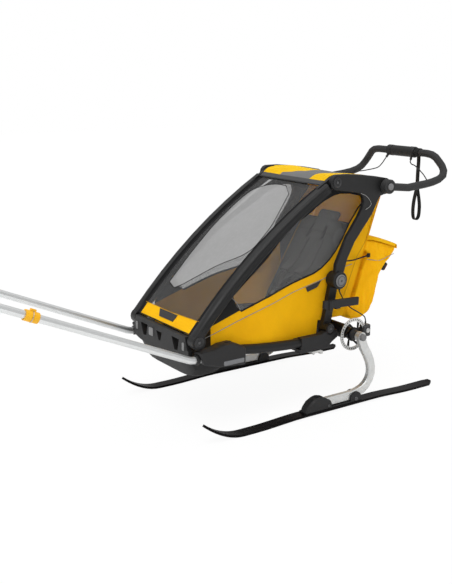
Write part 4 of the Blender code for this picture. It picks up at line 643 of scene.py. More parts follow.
def zones(outline, regions, step):
    """Triangles over an outline, split along the regions; each takes the last region that holds it."""
    coords = []
    faces = []
    for ring in [outline, *regions]:
        ring = [Vector(point) for point in ring]
        if signed_area(ring) < 0:
            ring.reverse()
        ring = spread([*ring, ring[0]], step)
        faces.append(list(range(len(coords), len(coords) + len(ring))))
        coords += ring
    border = list(coords)
    outer = coords[: len(faces[0])]
    left, right = min(p[0] for p in outer), max(p[0] for p in outer)
    row = 0
    v = min(p[1] for p in outer) + step / 2
    top = max(p[1] for p in outer)
    while v < top:
        u = left + step * (0.5 if row % 2 else 0.9)
        while u < right:
            point = Vector((u, v))
            if inside(point, outer) and all((point - other).length > step * 0.55 for other in border):
                coords.append(point)
            u += step
        v += step * 0.87
        row += 1
    points, _, tris, _, _, sources = delaunay_2d_cdt(coords, [], faces, 1, 1e-5)
    kept = [(tri, max(source)) for tri, source in zip(tris, sources) if 0 in source]
    return [tuple(p) for p in points], [tri for tri, _ in kept], [kind for _, kind in kept]


def patch(name, outline, regions, step, place, look, body, thickness=0.0014, replaced=(), slot=None):
    """A sheet over a flat outline, with one look for it and one for each region."""
    points, tris, kinds = zones(outline, regions, step)
    used = sorted({i for tri in tris for i in tri})
    index = {old: new for new, old in enumerate(used)}
    verts = [place(*points[i]) for i in used]
    faces = [tuple(index[i] for i in tri) for tri in tris]
    obj = piece(name, verts, faces, look, kinds, thickness=thickness, angle=70)
    return finished(obj, body, look if isinstance(look, str) else look[0], replaced, slot)


def seam(name, points, place, radius, look, body, sides=6, step=0.012, closed=False):
    """A rod along flat points laid on a surface, with a point at least every step."""
    flat = [Vector(point) for point in points]
    if closed:
        flat.append(flat[0])
    return rod(name, [place(*point) for point in [*spread(flat, step), flat[-1]]], radius, look, body, sides)


def ripple(point, scale, seed):
    return noise.noise(Vector(point) * scale + Vector((seed, seed * 0.7, seed * 1.3)))


def step_between(value, start, end):
    t = min(max((value - start) / (end - start), 0.0), 1.0)
    return t * t * (3 - 2 * t)


class Path:
    """A flat line measured by its length."""

    def __init__(self, points, smooth=0):
        self.points = curve(points, smooth) if smooth else [Vector(point) for point in points]
        self.marks = [0.0]
        for a, b in zip(self.points, self.points[1:]):
            self.marks.append(self.marks[-1] + (b - a).length)
        self.length = self.marks[-1]

    def at(self, s, offset=0.0):
        s = min(max(s, 0.0), self.length)
        for i, mark in enumerate(self.marks[1:], 1):
            if s <= mark + 1e-9:
                break
        a, b = self.points[i - 1], self.points[i]
        along = (b - a).normalized()
        part = (s - self.marks[i - 1]) / max(self.marks[i] - self.marks[i - 1], 1e-9)
        return a.lerp(b, part) + Vector((-along[1], along[0])) * offset

    def reach(self, y):
        """Length up to where the line passes y."""
        for i, (a, b) in enumerate(zip(self.points, self.points[1:])):
            if a[0] <= y <= b[0]:
                return self.marks[i] + (self.marks[i + 1] - self.marks[i]) * (y - a[0]) / (b[0] - a[0])
        return self.length if y > self.points[-1][0] else 0.0


# The side frame's lines

DIAGONAL_HALF_DEPTH = 0.021
CASTING_FRONT = -0.13
CASTING_LINE = curve(
    [(-0.13, 0.866), (-0.085, 0.890), (-0.03, 0.903), (0.045, 0.905), (0.12, 0.901), (0.205, 0.889)], 40
)


def diagonal_point(t, offset=0.0):
    """Point at the share t of the bowed diagonal tube, moved outwards by offset."""
    chord = TOP_PIVOT - FRONT_PIVOT
    normal = Vector((-chord[1], chord[0])).normalized()
    start = FRONT_PIVOT + normal * 0.010
    control = FRONT_PIVOT + chord / 2 + normal * 0.085
    point = start * (1 - t) ** 2 + control * 2 * t * (1 - t) + TOP_PIVOT * t**2
    along = (control - start) * (1 - t) + (TOP_PIVOT - control) * t
    along.normalize()
    return point + Vector((-along[1], along[0])) * offset


def diagonal_line(y, offset=-DIAGONAL_HALF_DEPTH - 0.001):
    """Height of the diagonal's underside at y, and of the casting behind it."""
    if y > CASTING_FRONT:
        for a, b in zip(CASTING_LINE, CASTING_LINE[1:]):
            if a[0] <= y <= b[0]:
                return a[1] + (b[1] - a[1]) * (y - a[0]) / max(b[0] - a[0], 1e-9)
        return CASTING_LINE[-1][1]
    low, high = 0.0, 1.0
    for _ in range(24):
        middle = (low + high) / 2
        if diagonal_point(middle, offset)[0] < y:
            low = middle
        else:
            high = middle
    return diagonal_point(low, offset)[1]


def under_diagonal(*places):
    return [(y, diagonal_line(y)) for y in places]


# The CAD nodes that stay

NODES = {
    "frame": ("rail", "axle_beam", "diagonal", "crossbar", "lower_post"),
    "plastic": ("rear_node", "ski_mount", "upper_frame", "stow_bracket", "brake_housing"),
    "grey": ("release_button", "hinge_cap", "tilt_button"),
    "panel": ("front_panel", "floor_tray"),
    "casting": ("receiver",),
    "anodised": ("tow_arm",),
    "strap_yellow": ("arm_clip",),
    "zinc": ("adjuster",),
    "caliper": ("caliper",),
    "hub": ("ski_hub",),
    "steel": ("rotor",),
    "strut": ("strut",),
    "ski": ("ski",),
    "foam": ("handlebar",),
    "rubber": ("twist_grip",),
}


def dress_nodes():
    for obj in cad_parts.values():
        obj.data.shade_smooth()
        if "custom_normal" in obj.data.attributes:
            obj.data.attributes.remove(obj.data.attributes["custom_normal"])
        weld = obj.modifiers.new("weld", "WELD")
        weld.merge_threshold = 1e-6
        split = obj.modifiers.new("split", "EDGE_SPLIT")
        split.split_angle = math.radians(32)
    for look, stems in NODES.items():
        for name in [stem + end for stem in stems for end in ("", "_left", "_right")]:
            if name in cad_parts:
                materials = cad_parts[name].data.materials
                materials.clear()
                materials.append(looks[look])


# Front cover: (x, share of its length)

WINDOW = [
    (-0.1296, 0.8657), (-0.0921, 0.8918), (-0.0429, 0.9053), (0.0040, 0.9038), (0.0145, 0.9021), (0.0215, 0.8968),
    (0.0720, 0.8582), (0.0792, 0.8528), (0.0835, 0.8438), (0.1277, 0.7423), (0.1634, 0.6487), (0.1787, 0.5693),
    (0.1817, 0.4954), (0.1495, 0.4368), (0.0747, 0.3700), (0.0084, 0.2888), (-0.0451, 0.2204), (-0.0790, 0.1885),
    (-0.0857, 0.1830), (-0.0950, 0.1860), (-0.1320, 0.1993), (-0.1417, 0.2028), (-0.1424, 0.2120), (-0.1449, 0.2897),
    (-0.1539, 0.4220), (-0.1645, 0.5676), (-0.1652, 0.7001), (-0.1611, 0.8050), (-0.1500, 0.8450),
]
BADGE = [(-0.0819, 0.0661), (0.0528, 0.0667), (0.0483, 0.0312), (-0.0546, 0.0310)]
COVER_LENGTH = 0.862
COVER_LIFT = 0.012
COVER_HALF = 0.2035
COVER_START = 0.006
COVER_END = 0.941
COVER_SEAM = 0.187


def cover_place(x, s, lift=0.0015):
    """Point of the front cover at x, s metres up along it."""
    t = s / COVER_LENGTH
    sag = 0.0030 * (1 - (x / 0.2) ** 2) * math.sin(math.pi * min(max(t, 0.0), 1.0))
    sag += 0.0010 * ripple((x, s, 0.0), 9.0, 3.0)
    return at(x, *diagonal_point(t, COVER_LIFT + lift - max(sag, 0.0)))


def along_cover(points):
    return [(x, t * COVER_LENGTH) for x, t in points]


def cover_strip(a, b):
    return along_cover([(a, COVER_START), (b, COVER_START), (b, COVER_END), (a, COVER_END)])


def front_cover():
    half, start, body = COVER_HALF, COVER_START, "front_cover"
    band = along_cover([(-half, start), (half, start), (half, 0.078), (0.0, 0.069), (-half, 0.070)])
    window = closed_curve(along_cover(WINDOW))
    regions = [band, cover_strip(COVER_SEAM, half), cover_strip(-COVER_SEAM, -half), window]
    kinds = ("mesh", "cover_yellow", "binding", "binding", "film")
    outline = cover_strip(-half, half)
    obj = patch("cover_fabric", outline, regions, 0.013, cover_place, kinds, body, replaced=["front_cover"])

    def proud(x, s):
        return cover_place(x, s, 0.0022)

    for side, sign in SIDES:
        for name, x, radius, sides in (("seam", COVER_SEAM, 0.0011, 6), ("edge", 0.2015, 0.0024, 8)):
            points = along_cover([(sign * x, 0.008), (sign * x, 0.939)])
            seam(f"cover_{name}_{side}", points, proud, radius, "binding", body, sides, 0.02)
    seam("window_rim", window, proud, 0.0012, "binding", body, closed=True)
    seam("band_seam", along_cover([(-0.2, 0.070), (0.0, 0.069), (0.2, 0.078)]), proud, 0.0010, "stitch", body)
    seam("cover_hem", along_cover([(-0.2, 0.009), (0.2, 0.009)]), proud, 0.0024, "binding", body, 8)
    patch("badge", along_cover(BADGE), [], 0.012, lambda x, s: cover_place(x, s, 0.0036), "plate", body, 0.0018)


# Side panels: (y, z)

SIDE_WINDOW_LOW = [
    (-0.5649, 0.5171), (-0.5470, 0.4700), (-0.5296, 0.4556), (-0.4221, 0.4878), (-0.3403, 0.5099), (-0.2456, 0.5305),
    (-0.1514, 0.5523), (-0.1100, 0.5699), (-0.0675, 0.5996), (-0.0345, 0.6342), (-0.0010, 0.6795), (0.0330, 0.7391),
    (0.0770, 0.7980), (0.1130, 0.8370),
]
SIDE_WINDOW_TOP = [
    (0.0901, 0.8497), (0.0341, 0.8629), (-0.0204, 0.8671), (-0.0559, 0.8610), (-0.0995, 0.8441), (-0.1424, 0.8207),
    (-0.1678, 0.8027), (-0.2525, 0.7618), (-0.3439, 0.7000), (-0.4239, 0.6299), (-0.5028, 0.5675),
]
GUSSET = [(-0.5726, 0.5129), (-0.5493, 0.4918), (-0.5320, 0.4580), (-0.6719, 0.4123)]
PIPING = [
    (-0.6984, 0.3728), (-0.6569, 0.3835), (-0.5490, 0.4154), (-0.3890, 0.4579), (-0.1948, 0.4997), (-0.1059, 0.5184),
    (-0.0614, 0.5323), (0.0062, 0.5557), (0.0338, 0.5616), (0.0588, 0.5650),
]
LABEL = [(-0.19, 0.4969), (-0.1076, 0.5158), (-0.1273, 0.4902), (-0.1801, 0.4765)]
REAR_SEAM = [
    (0.1737, 0.7832), (0.1572, 0.7350), (0.1367, 0.6729), (0.1238, 0.6456), (0.0838, 0.5928), (0.0501, 0.5107),
    (0.0163, 0.4285),
]
PANEL_BOTTOM = [
    (-0.668, 0.318), (-0.540, 0.314), (-0.465, 0.305), (-0.390, 0.296), (-0.320, 0.287), (-0.262, 0.281),
    (-0.128, 0.281), (-0.122, 0.3465), (0.024, 0.3465),
]
PANEL_REAR = [(0.0865, 0.5165), (0.145, 0.676), (0.2045, 0.8385)]
PANEL_TOP = [
    (0.205, 0.889), (0.175, 0.894), (0.135, 0.899), (0.09, 0.903), (0.045, 0.905), (0.0, 0.904), (-0.045, 0.898),
    (-0.085, 0.888),
]
PANEL_FRONT_X = 0.2115
PANEL_REAR_X = 0.1880


def panel_x(y):
    """The panel steps inwards behind the front of the cabin, to pass inside the lower post."""
    return PANEL_FRONT_X + (PANEL_REAR_X - PANEL_FRONT_X) * step_between(y, -0.40, -0.23)


def side_place(sign, out=0.0012):
    def place(y, z):
        rim = min(1.0, max(0.0, (diagonal_line(y) - z) / 0.05)) * min(1.0, max(0.0, (z - 0.31) / 0.05))
        wave = 0.0016 * ripple((y, z, 0.0), 7.0, 11.0 * sign) + 0.0007 * ripple((y * 2.2, z, 0.0), 24.0, 5.0)
        return at(sign * (panel_x(y) + out + rim * wave), y, z)

    return place


def side_panel(side, sign):
    tops = under_diagonal(*[-0.122 - 0.042 * i for i in range(13)], -0.668)
    border = [(y + 0.0035, z - 0.0055) for y, z in SIDE_WINDOW_LOW[1:]]
    border += [(0.1300, 0.846), *PANEL_TOP[3:]]
    border += under_diagonal(-0.122, -0.17, -0.23, -0.29, -0.35, -0.41, -0.47, -0.53, -0.575)
    border.append((-0.5750, 0.5171))
    gusset = GUSSET + under_diagonal(-0.655, -0.611, -0.585)
    obj = patch(
        f"side_fabric_{side}",
        PANEL_BOTTOM + PANEL_REAR + PANEL_TOP + tops,
        [border, gusset, SIDE_WINDOW_LOW + SIDE_WINDOW_TOP],
        0.014,
        side_place(sign),
        ("yellow", "binding", "binding", "side_film"),
        "base",
        0.0014 * sign,
        [f"side_panel_{side}"],
    )
    folding(obj)
    proud = side_place(sign, 0.0024)
    for name, points, radius, look in (
        ("side_piping", PIPING, 0.0013, "piping"),
        ("rear_seam", REAR_SEAM, 0.0010, "stitch"),
        ("side_window_rim", SIDE_WINDOW_LOW[1:], 0.0014, "binding"),
        ("gusset_piping", [(-0.5760, 0.5160), *GUSSET[:3]], 0.0011, "piping"),
    ):
        folding(seam(f"{name}_{side}", points, proud, radius, look, "base"))
    place = side_place(sign, 0.0030)
    folding(patch(f"side_label_{side}", LABEL, [], 0.012, place, "plate", "base", 0.0012 * sign, slot="webbing_black"))
    corner = [(0.024, 0.347), *PANEL_REAR, (0.205, 0.886)]
    folding(seam(f"corner_seam_{side}", corner, proud, 0.0016, "yellow", "base", step=0.02))


# Roof: (y, z) of its line, and half widths

ROOF = [
    (-0.1365, 0.9090), (-0.1245, 0.9190), (-0.0900, 0.9430), (-0.0520, 0.9470), (-0.0440, 0.9470), (0.0400, 0.9430),
    (0.0950, 0.9350), (0.1380, 0.9270), (0.1460, 0.9250), (0.1720, 0.9180), (0.1980, 0.9040),
]
ROOF_FRONT_HALF = 0.2030
ROOF_HALF = 0.2183
ROOF_REAR_HALF = 0.1965


def roof():
    path = Path(ROOF, 41)
    front_half, half, rear = ROOF_FRONT_HALF, ROOF_HALF, ROOF_REAR_HALF

    def place(x, s, out=0.0008):
        sag = 0.005 * (1 - (x / 0.2186) ** 2) * math.sin(math.pi * min(s / path.length, 1.0)) ** 0.5
        return at(x, *path.at(s, out - sag + 0.0008 * ripple((x, s, 0.0), 11.0, 2.0)))

    def proud(x, s):
        return place(x, s, 0.0014)

    def reached(*points):
        return [(x, path.reach(y)) for x, y in points]

    wide_start = path.reach(-0.050)
    wide_end = path.reach(0.140)
    end = path.length
    front = path.reach(-0.1160)
    outline = [
        (-front_half, 0.0), (front_half, 0.0), (front_half, wide_start), (half, wide_start), (half, wide_end),
        (rear, wide_end), (rear, end), (-rear, end), (-rear, wide_end), (-half, wide_end), (-half, wide_start),
        (-front_half, wide_start),
    ]
    left = [(-half, front), (-0.087, front - 0.002)]
    left += reached((-0.0866, -0.1032), (-0.0313, -0.0931), (0.0085, -0.0514), (-0.0261, 0.0183))
    left += reached((-0.040, 0.080), (-half, 0.080))
    right = [(half, front), (0.107, front)]
    right += reached((0.112, -0.0963), (0.121, -0.0514), (0.1535, 0.0358), (0.158, 0.080), (half, 0.080))
    hem = [(-front_half, 0.0), (front_half, 0.0), (front_half, front), (-front_half, front)]
    kinds = ("roof_grey", "roof_yellow", "roof_yellow", "hem_grey")
    obj = patch("roof_fabric", outline, [left, right, hem], 0.012, place, kinds, "top_frame", -0.0016, ["roof"])
    seam("roof_seam_left", left[1:7], proud, 0.0009, "stitch", "top_frame")
    seam("roof_seam_right", right[1:6], proud, 0.0009, "stitch", "top_frame")
    seam("roof_hem", [(-0.2, 0.003), (0.2, 0.003)], proud, 0.0018, "binding", "top_frame", 8, 0.02)


# Rear panel and cargo bag: (y, z)

REAR_FOOT = Vector((0.022, 0.348))
REAR_TOP = Vector((0.201, 0.836))
REAR_EDGE = Vector((0.208, 0.892))
REAR_HALF = 0.1838
DART_X = 0.085
BAG_BACK = [
    (0.225, 0.648), (0.319, 0.618), (0.311, 0.588), (0.254, 0.512), (0.228, 0.440), (0.208, 0.384), (0.172, 0.330),
    (0.126, 0.311), (0.075, 0.314), (0.046, 0.338),
]
BAG_LID = [
    (0.1395, 0.6690), (0.170, 0.6655), (0.226, 0.6510), (0.290, 0.6300), (0.314, 0.6215), (0.3225, 0.6150),
    (0.3215, 0.6010),
]
BAG_HALF = 0.180
LID_HALF = 0.1815
LID_LIP_X = 0.1830
LID_LIP_STEP = 0.0075
BAG_END = 0.1805
BAG_FOLD = (0.31, 0.42)
# Where the bag meets the rear panel, the way up along it and the way out from it
BAG_START = Vector((0.0265, 0.348))
BAG_WAY = (REAR_TOP - REAR_FOOT).normalized()
BAG_OUT = Vector((BAG_WAY[1], -BAG_WAY[0]))
# Half of the bag from its middle to one end: (x, inset of the section)
BAG_STATIONS = [
    (0.0, 0.0), (0.035, 0.0), (0.07, 0.0), (0.105, 0.0), (0.14, 0.0005), (0.160, 0.002), (0.172, 0.006),
    (0.1785, 0.013), (0.180, 0.024),
]
BAG_STATIONS += [(BAG_END, inset) for inset in (0.034, 0.044, 0.055, 0.070, 0.090, 0.115, 0.140)]


def rear_panel():
    path = Path([REAR_FOOT, REAR_TOP, REAR_EDGE])

    def place(x, s, out=-0.001):
        wave = 0.0018 * ripple((x, s, 0.0), 6.0, 9.0) * min(1.0, (0.19 - abs(x)) / 0.03)
        return at(x, *path.at(s, out - wave))

    def above(low):
        return [(-REAR_HALF, low), (REAR_HALF, low), (REAR_HALF, path.length), (-REAR_HALF, path.length)]

    regions = [above(path.length - 0.012)]
    kinds = ("yellow", "binding")
    obj = patch("rear_fabric", above(0.0), regions, 0.016, place, kinds, "base", -0.0014, ["rear_panel"])
    folding(obj)
    for side, sign in SIDES:
        points = [(sign * DART_X, 0.36), (sign * DART_X * 1.25, 0.56)]
        folding(seam(f"rear_dart_{side}", points, lambda u, s: place(u, s, -0.0022), 0.0010, "stitch", "base"))


def bag_profile(count):
    ring = [*curve([REAR_FOOT.lerp(REAR_TOP, 0.655), *BAG_BACK], 60), REAR_FOOT.lerp(REAR_TOP, 0.015)]
    path = Path([*ring, ring[0]])
    return [path.at(path.length * i / count) for i in range(count)]


def cargo_bag():
    profile = bag_profile(96)
    centre = sum(profile, Vector((0.0, 0.0))) / len(profile)

    def inner(point, inset):
        """A point moved towards the centre, but not behind the rear panel."""
        arm = centre - point
        moved = point + arm * min(inset / max(arm.length, 1e-6), 1.0)
        depth = (moved - BAG_START).dot(BAG_OUT)
        return moved - BAG_OUT * depth if depth < 0.0 else moved

    stations = [(-x, inset) for x, inset in BAG_STATIONS[:0:-1]] + BAG_STATIONS
    rings = [[at(x, *inner(point, inset)) for point in profile] for x, inset in stations]
    obj = piece("bag", *skin(rings), "bag_yellow", levels=1, angle=80)
    for vertex, normal in zip(obj.data.vertices, [v.normal.copy() for v in obj.data.vertices]):
        x, y, z = vertex.co[0], vertex.co[1] - SHIFT, vertex.co[2]
        depth = (Vector((y, z)) - BAG_START).dot(BAG_OUT)
        free = step_between(depth, 0.004, 0.05)
        side = step_between(abs(x), 0.15, 0.18)
        folds = 0.0050 * ripple((x * 1.5, y, z * 0.55), 13.0, 4.0) + 0.0020 * ripple((x, y * 1.6, z), 34.0, 7.0)
        tucks = 0.0035 * ripple((0.0, y * 3.0, z * 0.6), 12.0, 21.0) * side
        vertex.co += normal * free * (folds + tucks - 0.0015)
        height = (Vector((y, z)) - BAG_START).dot(BAG_WAY)
        near = 1.0 - step_between(depth, 0.026, 0.038)
        pleat = near * step_between(height, 0.030, 0.075) * (1.0 - step_between(height, 0.262, 0.292))
        limit = BAG_HALF + 0.004 - 0.100 * pleat
        vertex.co[0] = max(-limit, min(limit, vertex.co[0]))
    finished(obj, "base", "bag_yellow", ["cargo_bag"])
    folding(obj, *BAG_FOLD)


def bag_lid():
    """The lid lies on the bag, with a lip that hangs over each end."""
    top = Path(BAG_LID, 25)
    rings = []
    count = 30
    flat = 11
    for i in range(count + 1):
        s = top.length * i / count
        drop = 0.0 if s > top.length - 0.022 else 1.0
        ring = []
        for k in range(-flat - 2, flat + 3):
            x, fall = k / flat * LID_HALF, 0.0
            if abs(k) > flat:
                x, fall = math.copysign(LID_LIP_X, k), LID_LIP_STEP * (abs(k) - flat) * drop
            elif abs(k) == flat:
                fall = 0.0012
            sag = 0.0060 * (1 - (x / 0.19) ** 2) * math.sin(math.pi * i / count)
            wave = 0.0022 * ripple((x, s, 0.0), 13.0, 15.0)
            y, z = top.at(s, 0.0022 + wave * drop + sag)
            ring.append(at(x, y, z - fall))
        rings.append(ring)
    obj = piece("bag_lid", *skin(rings, False, False), "bag_yellow", thickness=-0.0016, levels=1, angle=80)
    finished(obj, "base", "bag_yellow")
    folding(obj, *BAG_FOLD)


def bag_details():
    piping = curve([(0.3090, 0.5797), (0.2700, 0.5690), (0.2299, 0.5593), (0.1900, 0.5640), (0.1512, 0.5723)], 20)
    for side, sign in SIDES:
        line = [at(sign * (BAG_HALF + 0.0022), y, z) for y, z in piping]
        folding(rod(f"bag_piping_{side}", line, 0.0013, "piping", "base", 6), *BAG_FOLD)
        ends = ((0.2290, -0.018, 0.5925), (0.2170, 0.040, 0.5880), (0.1990, 0.100, 0.5880), (0.1835, 0.157, 0.590))
        line = [at(*point) for point in curve([(sign * x, y, z) for x, y, z in ends], 14)]
        folding(rod(f"elastic_{side}", line, 0.0031, "webbing", "base"), *BAG_FOLD)
        box = rounded_box((0.148, 0.5800), (0.168, 0.5980), 0.004, 3)
        name = f"elastic_tab_{side}"
        folding(plate(name, box, sign * 0.1815, sign * 0.1840, side_view, "webbing", "base", 0.0008), *BAG_FOLD)
    way = Vector((0.6, 0.8))
    out = Vector((0.8, -0.6))
    centre = Vector((0.2660, 0.5280))

    def lamp(u, v, depth):
        return at(u, *(centre + way * v + out * depth))

    body_box = rounded_box((0.115, -0.018), (0.171, 0.018), 0.005)
    lens_box = rounded_box((0.117, -0.0155), (0.169, 0.0155), 0.004)
    clip_box = rounded_box((0.134, -0.023), (0.152, 0.0235), 0.003)
    shell = plate("lamp_body", body_box, -0.002, 0.0125, lamp, "plastic", "base", 0.0012)
    lens = plate("lamp_lens", lens_box, 0.0125, 0.0170, lamp, "lens", "base", 0.0024, ["tail_light"], 3)
    clip = plate("lamp_clip", clip_box, -0.003, 0.0015, lamp, "webbing", "base", 0.0008)
    for obj in (shell, lens, clip):
        folding(obj, *BAG_FOLD)


# Seat

PAD_BOTTOM = 0.3206
BACK_FOLD = 0.352
# Foot of the seat back in the side view, the way up along it and the way out to its front
BACK_FOOT = Vector((-0.135, 0.352))
BACK_WAY = (Vector((0.098, 0.728)) - BACK_FOOT).normalized()
BACK_OUT = Vector((-BACK_WAY[1], BACK_WAY[0]))
BACK_DEPTH = 0.036
SEAT_WEBBING = 0.0018
# A shoulder strap: (x, s, off) on the seat back, then (x, y, z) down to the buckle
STRAP_ON_BACK = ((0.042, 0.395, 0.0015), (0.046, 0.30, 0.004), (0.050, 0.20, 0.012))
STRAP_TO_BUCKLE = ((0.040, -0.155, 0.500), (0.022, -0.190, 0.462), (0.012, -0.205, 0.445))


def stuffed(name, node, shrink, cap):
    """A padded copy of a CAD cushion, swollen by a cloth simulation by no more than cap."""
    obj = placed(name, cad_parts[node].data.copy())
    obj.data.name = name
    remesh = obj.modifiers.new("remesh", "REMESH")
    remesh.mode = "VOXEL"
    remesh.voxel_size = 0.005
    applied(obj)
    normals = [v.normal.copy() for v in obj.data.vertices]
    for vertex, normal in zip(obj.data.vertices, normals):
        vertex.co -= normal * shrink
    start = [v.co.copy() for v in obj.data.vertices]
    settings = obj.modifiers.new("cloth", "CLOTH").settings
    settings.use_pressure = True
    settings.uniform_pressure_force = 4.0
    settings.effector_weights.gravity = 0.0
    settings.quality = 5
    scene = bpy.context.scene
    for number in range(1, 21):
        scene.frame_set(number)
    applied(obj)
    scene.frame_set(1)
    for vertex, before in zip(obj.data.vertices, start):
        move = vertex.co - before
        if move.length > cap:
            vertex.co = before + move.normalized() * cap
    return obj


def sew(obj, depth_at):
    """One subdivision, then the sewn channels pressed in."""
    subdivide(obj, 1)
    applied(obj)
    normals = [v.normal.copy() for v in obj.data.vertices]
    for vertex, normal in zip(obj.data.vertices, normals):
        vertex.co -= normal * depth_at(vertex.co)
    obj.data.materials.clear()
    obj.data.materials.append(looks["seat"])
    obj.data.shade_smooth()


def groove(value, centre, width=0.0035):
    return math.exp(-(((value - centre) / width) ** 2))


def pad_depth(point):
    x, y = point[0], point[1] - SHIFT
    top = step_between(point[2], PAD_BOTTOM + 0.020, PAD_BOTTOM + 0.030)
    lines = groove(x, 0.055) + groove(x, -0.055) + groove(y, -0.315) * (1 if abs(x) < 0.055 else 0.4)
    return 0.004 * top * min(lines, 1.0)


def back_depth(point):
    x = point[0]
    flat = Vector((point[1] - SHIFT, point[2])) - BACK_FOOT
    s, front = flat.dot(BACK_WAY), flat.dot(BACK_OUT)
    lines = (groove(x, 0.060) + groove(x, -0.060)) * (s < 0.36)
    lines += groove(s, 0.150) * (abs(x) < 0.060) + groove(s, 0.360, 0.0040)
    return 0.004 * step_between(front, 0.014, 0.026) * min(lines, 1.0)


def on_back(x, s, off):
    """Point of the seat back's face at x, s metres up along it."""
    return at(x, *(BACK_FOOT + BACK_WAY * s + BACK_OUT * (BACK_DEPTH + off)))


def cushions():
    pad = stuffed("seat_cushion", "seat_pad", 0.004, 0.010)
    sew(pad, pad_depth)
    for vertex in pad.data.vertices:
        vertex.co[2] = max(vertex.co[2], PAD_BOTTOM - 0.001)
    finished(pad, "base", "seat", ["seat_pad"])
    back = stuffed("seat_back_cushion", "seat_back", 0.003, 0.009)
    sew(back, back_depth)
    finished(back, "seat_back", "seat", ["seat_back"])
    folding(back, BACK_FOLD)


def sling():
    """The cloth behind the seat back, with a wing at each side."""

    def on_sling(x, s):
        return on_back(x, s, -0.040 + 0.0015 * ripple((x, s, 0.0), 9.0, 33.0))

    right = [(0.176, 0.020), (0.184, 0.060), (0.184, 0.430), (0.174, 0.441)]
    outline = [(-0.176, 0.020), *right, *[(-x, s) for x, s in right[:0:-1]]]
    obj = patch("seat_sling", outline, [], 0.014, on_sling, "seat", "seat_back")
    folding(obj, BACK_FOLD)
    seam("sling_hem", [(-0.174, 0.440), (0.174, 0.440)], on_sling, 0.0022, "binding", "seat_back", 8)
    for side, sign in SIDES:

        def on_wing(s, front, sign=sign):
            y, z = BACK_FOOT + BACK_WAY * s + Vector((-front, 0.0))
            return at(sign * (0.1835 + 0.0012 * ripple((front, y, z), 11.0, 41.0)), y, z)

        outline = [(0.200, 0.0), (0.432, 0.0), (0.432, 0.115), (0.400, 0.120)]
        wing = patch(f"seat_wing_{side}", outline, [], 0.014, on_wing, "seat", "seat_back", 0.0014 * sign)
        folding(wing, BACK_FOLD)


def harness():
    for side, sign in SIDES:
        points = [on_back(sign * x, s, off) for x, s, off in STRAP_ON_BACK]
        points += [at(sign * x, y, z) for x, y, z in STRAP_TO_BUCKLE]
        across = [Vector((1, 0, 0))] * 20 + [Vector((0.9, -0.3 * sign, 0.2))] * 6
        line = curve(points, len(across))
        name = f"shoulder_strap_{side}"
        obj = strap(name, line, 0.025, SEAT_WEBBING, "webbing", "seat_back", acrosses=across)
        folding(obj, BACK_FOLD)
        line = [point + Vector((0, -0.004, 0.002)) for point in curve(points[:4], 22)[5:19]]
        pad = strap(f"shoulder_pad_{side}", line, 0.046, 0.009, "seat", "seat_back")
        folding(pad, BACK_FOLD)
    centre = Vector((-0.207, 0.437))
    facing = Vector((-0.80, 0.60))
    up = Vector((0.60, 0.80))

    def buckle_place(u, v, depth):
        return at(u, *(centre + up * v + facing * depth))

    box = rounded_box((-0.024, -0.024), (0.024, 0.026), 0.009)
    disc = circle((0.0, 0.0), 0.010, 24)
    folding(plate("buckle", box, -0.006, 0.008, buckle_place, "plastic", "seat_back", 0.003), BACK_FOLD)
    folding(plate("buckle_button", disc, 0.007, 0.0095, buckle_place, "grey", "seat_back", 0.0010), BACK_FOLD)
    line = curve([at(0.0, y, z) for y, z in ((-0.215, 0.425), (-0.236, 0.405), (-0.262, 0.388), (-0.290, 0.376))], 14)
    strap("crotch_strap", line, 0.030, SEAT_WEBBING, "webbing", "base")


# Wrist strap and cables

STRAP_X = 0.103
STRAP_WIDTH = 0.020
STRAP_STEM = ((0.5155, 0.985), (0.5165, 0.955), (0.5150, 0.915), (0.5150, 0.880), (0.5150, 0.850))
STRAP_LOOP = [
    (0.5150, 0.853), (0.5120, 0.838), (0.5020, 0.800), (0.4965, 0.765), (0.4960, 0.735), (0.5000, 0.712),
    (0.5080, 0.701), (0.5160, 0.699), (0.5250, 0.702), (0.5330, 0.714), (0.5360, 0.738), (0.5350, 0.768),
    (0.5280, 0.802), (0.5180, 0.838), (0.5150, 0.853),
]
CABLE_RADIUS = 0.0025
LOWER_CABLE = [
    (0.2435, -0.056, 0.4814), (0.2435, -0.055, 0.474), (0.243, -0.046, 0.459), (0.240, -0.026, 0.432),
    (0.244, 0.004, 0.398), (0.256, 0.042, 0.372), (0.266, 0.068, 0.352), (0.268, 0.075, 0.332), (0.268, 0.075, 0.3184),
]
UPPER_CABLES = {
    "left": [
        (0.0771, 0.4928, 0.9676), (0.0784, 0.4907, 0.9638), (0.0804, 0.4874, 0.9579), (0.0950, 0.4820, 0.9500),
        (0.122, 0.478, 0.944), (0.180, 0.462, 0.919), (0.216, 0.447, 0.901), (0.2312, 0.4405, 0.8905),
        (0.2402, 0.440, 0.890),
    ],
    "right": [
        (-0.0771, 0.4928, 0.9676), (-0.0784, 0.4907, 0.9638), (-0.0809, 0.4865, 0.9562), (-0.098, 0.486, 0.936),
        (-0.140, 0.500, 0.914), (-0.190, 0.492, 0.900), (-0.217, 0.468, 0.893), (-0.2312, 0.4525, 0.8915),
        (-0.2402, 0.452, 0.8915),
    ],
}
CABLE_ENDS = (
    ("upper", (0.2435, -0.0555, 0.4775), (0.2435, -0.0558, 0.4855)),
    ("lower", (0.268, 0.075, 0.3175), (0.268, 0.075, 0.330)),
)
CABLE_FOLD = 0.319


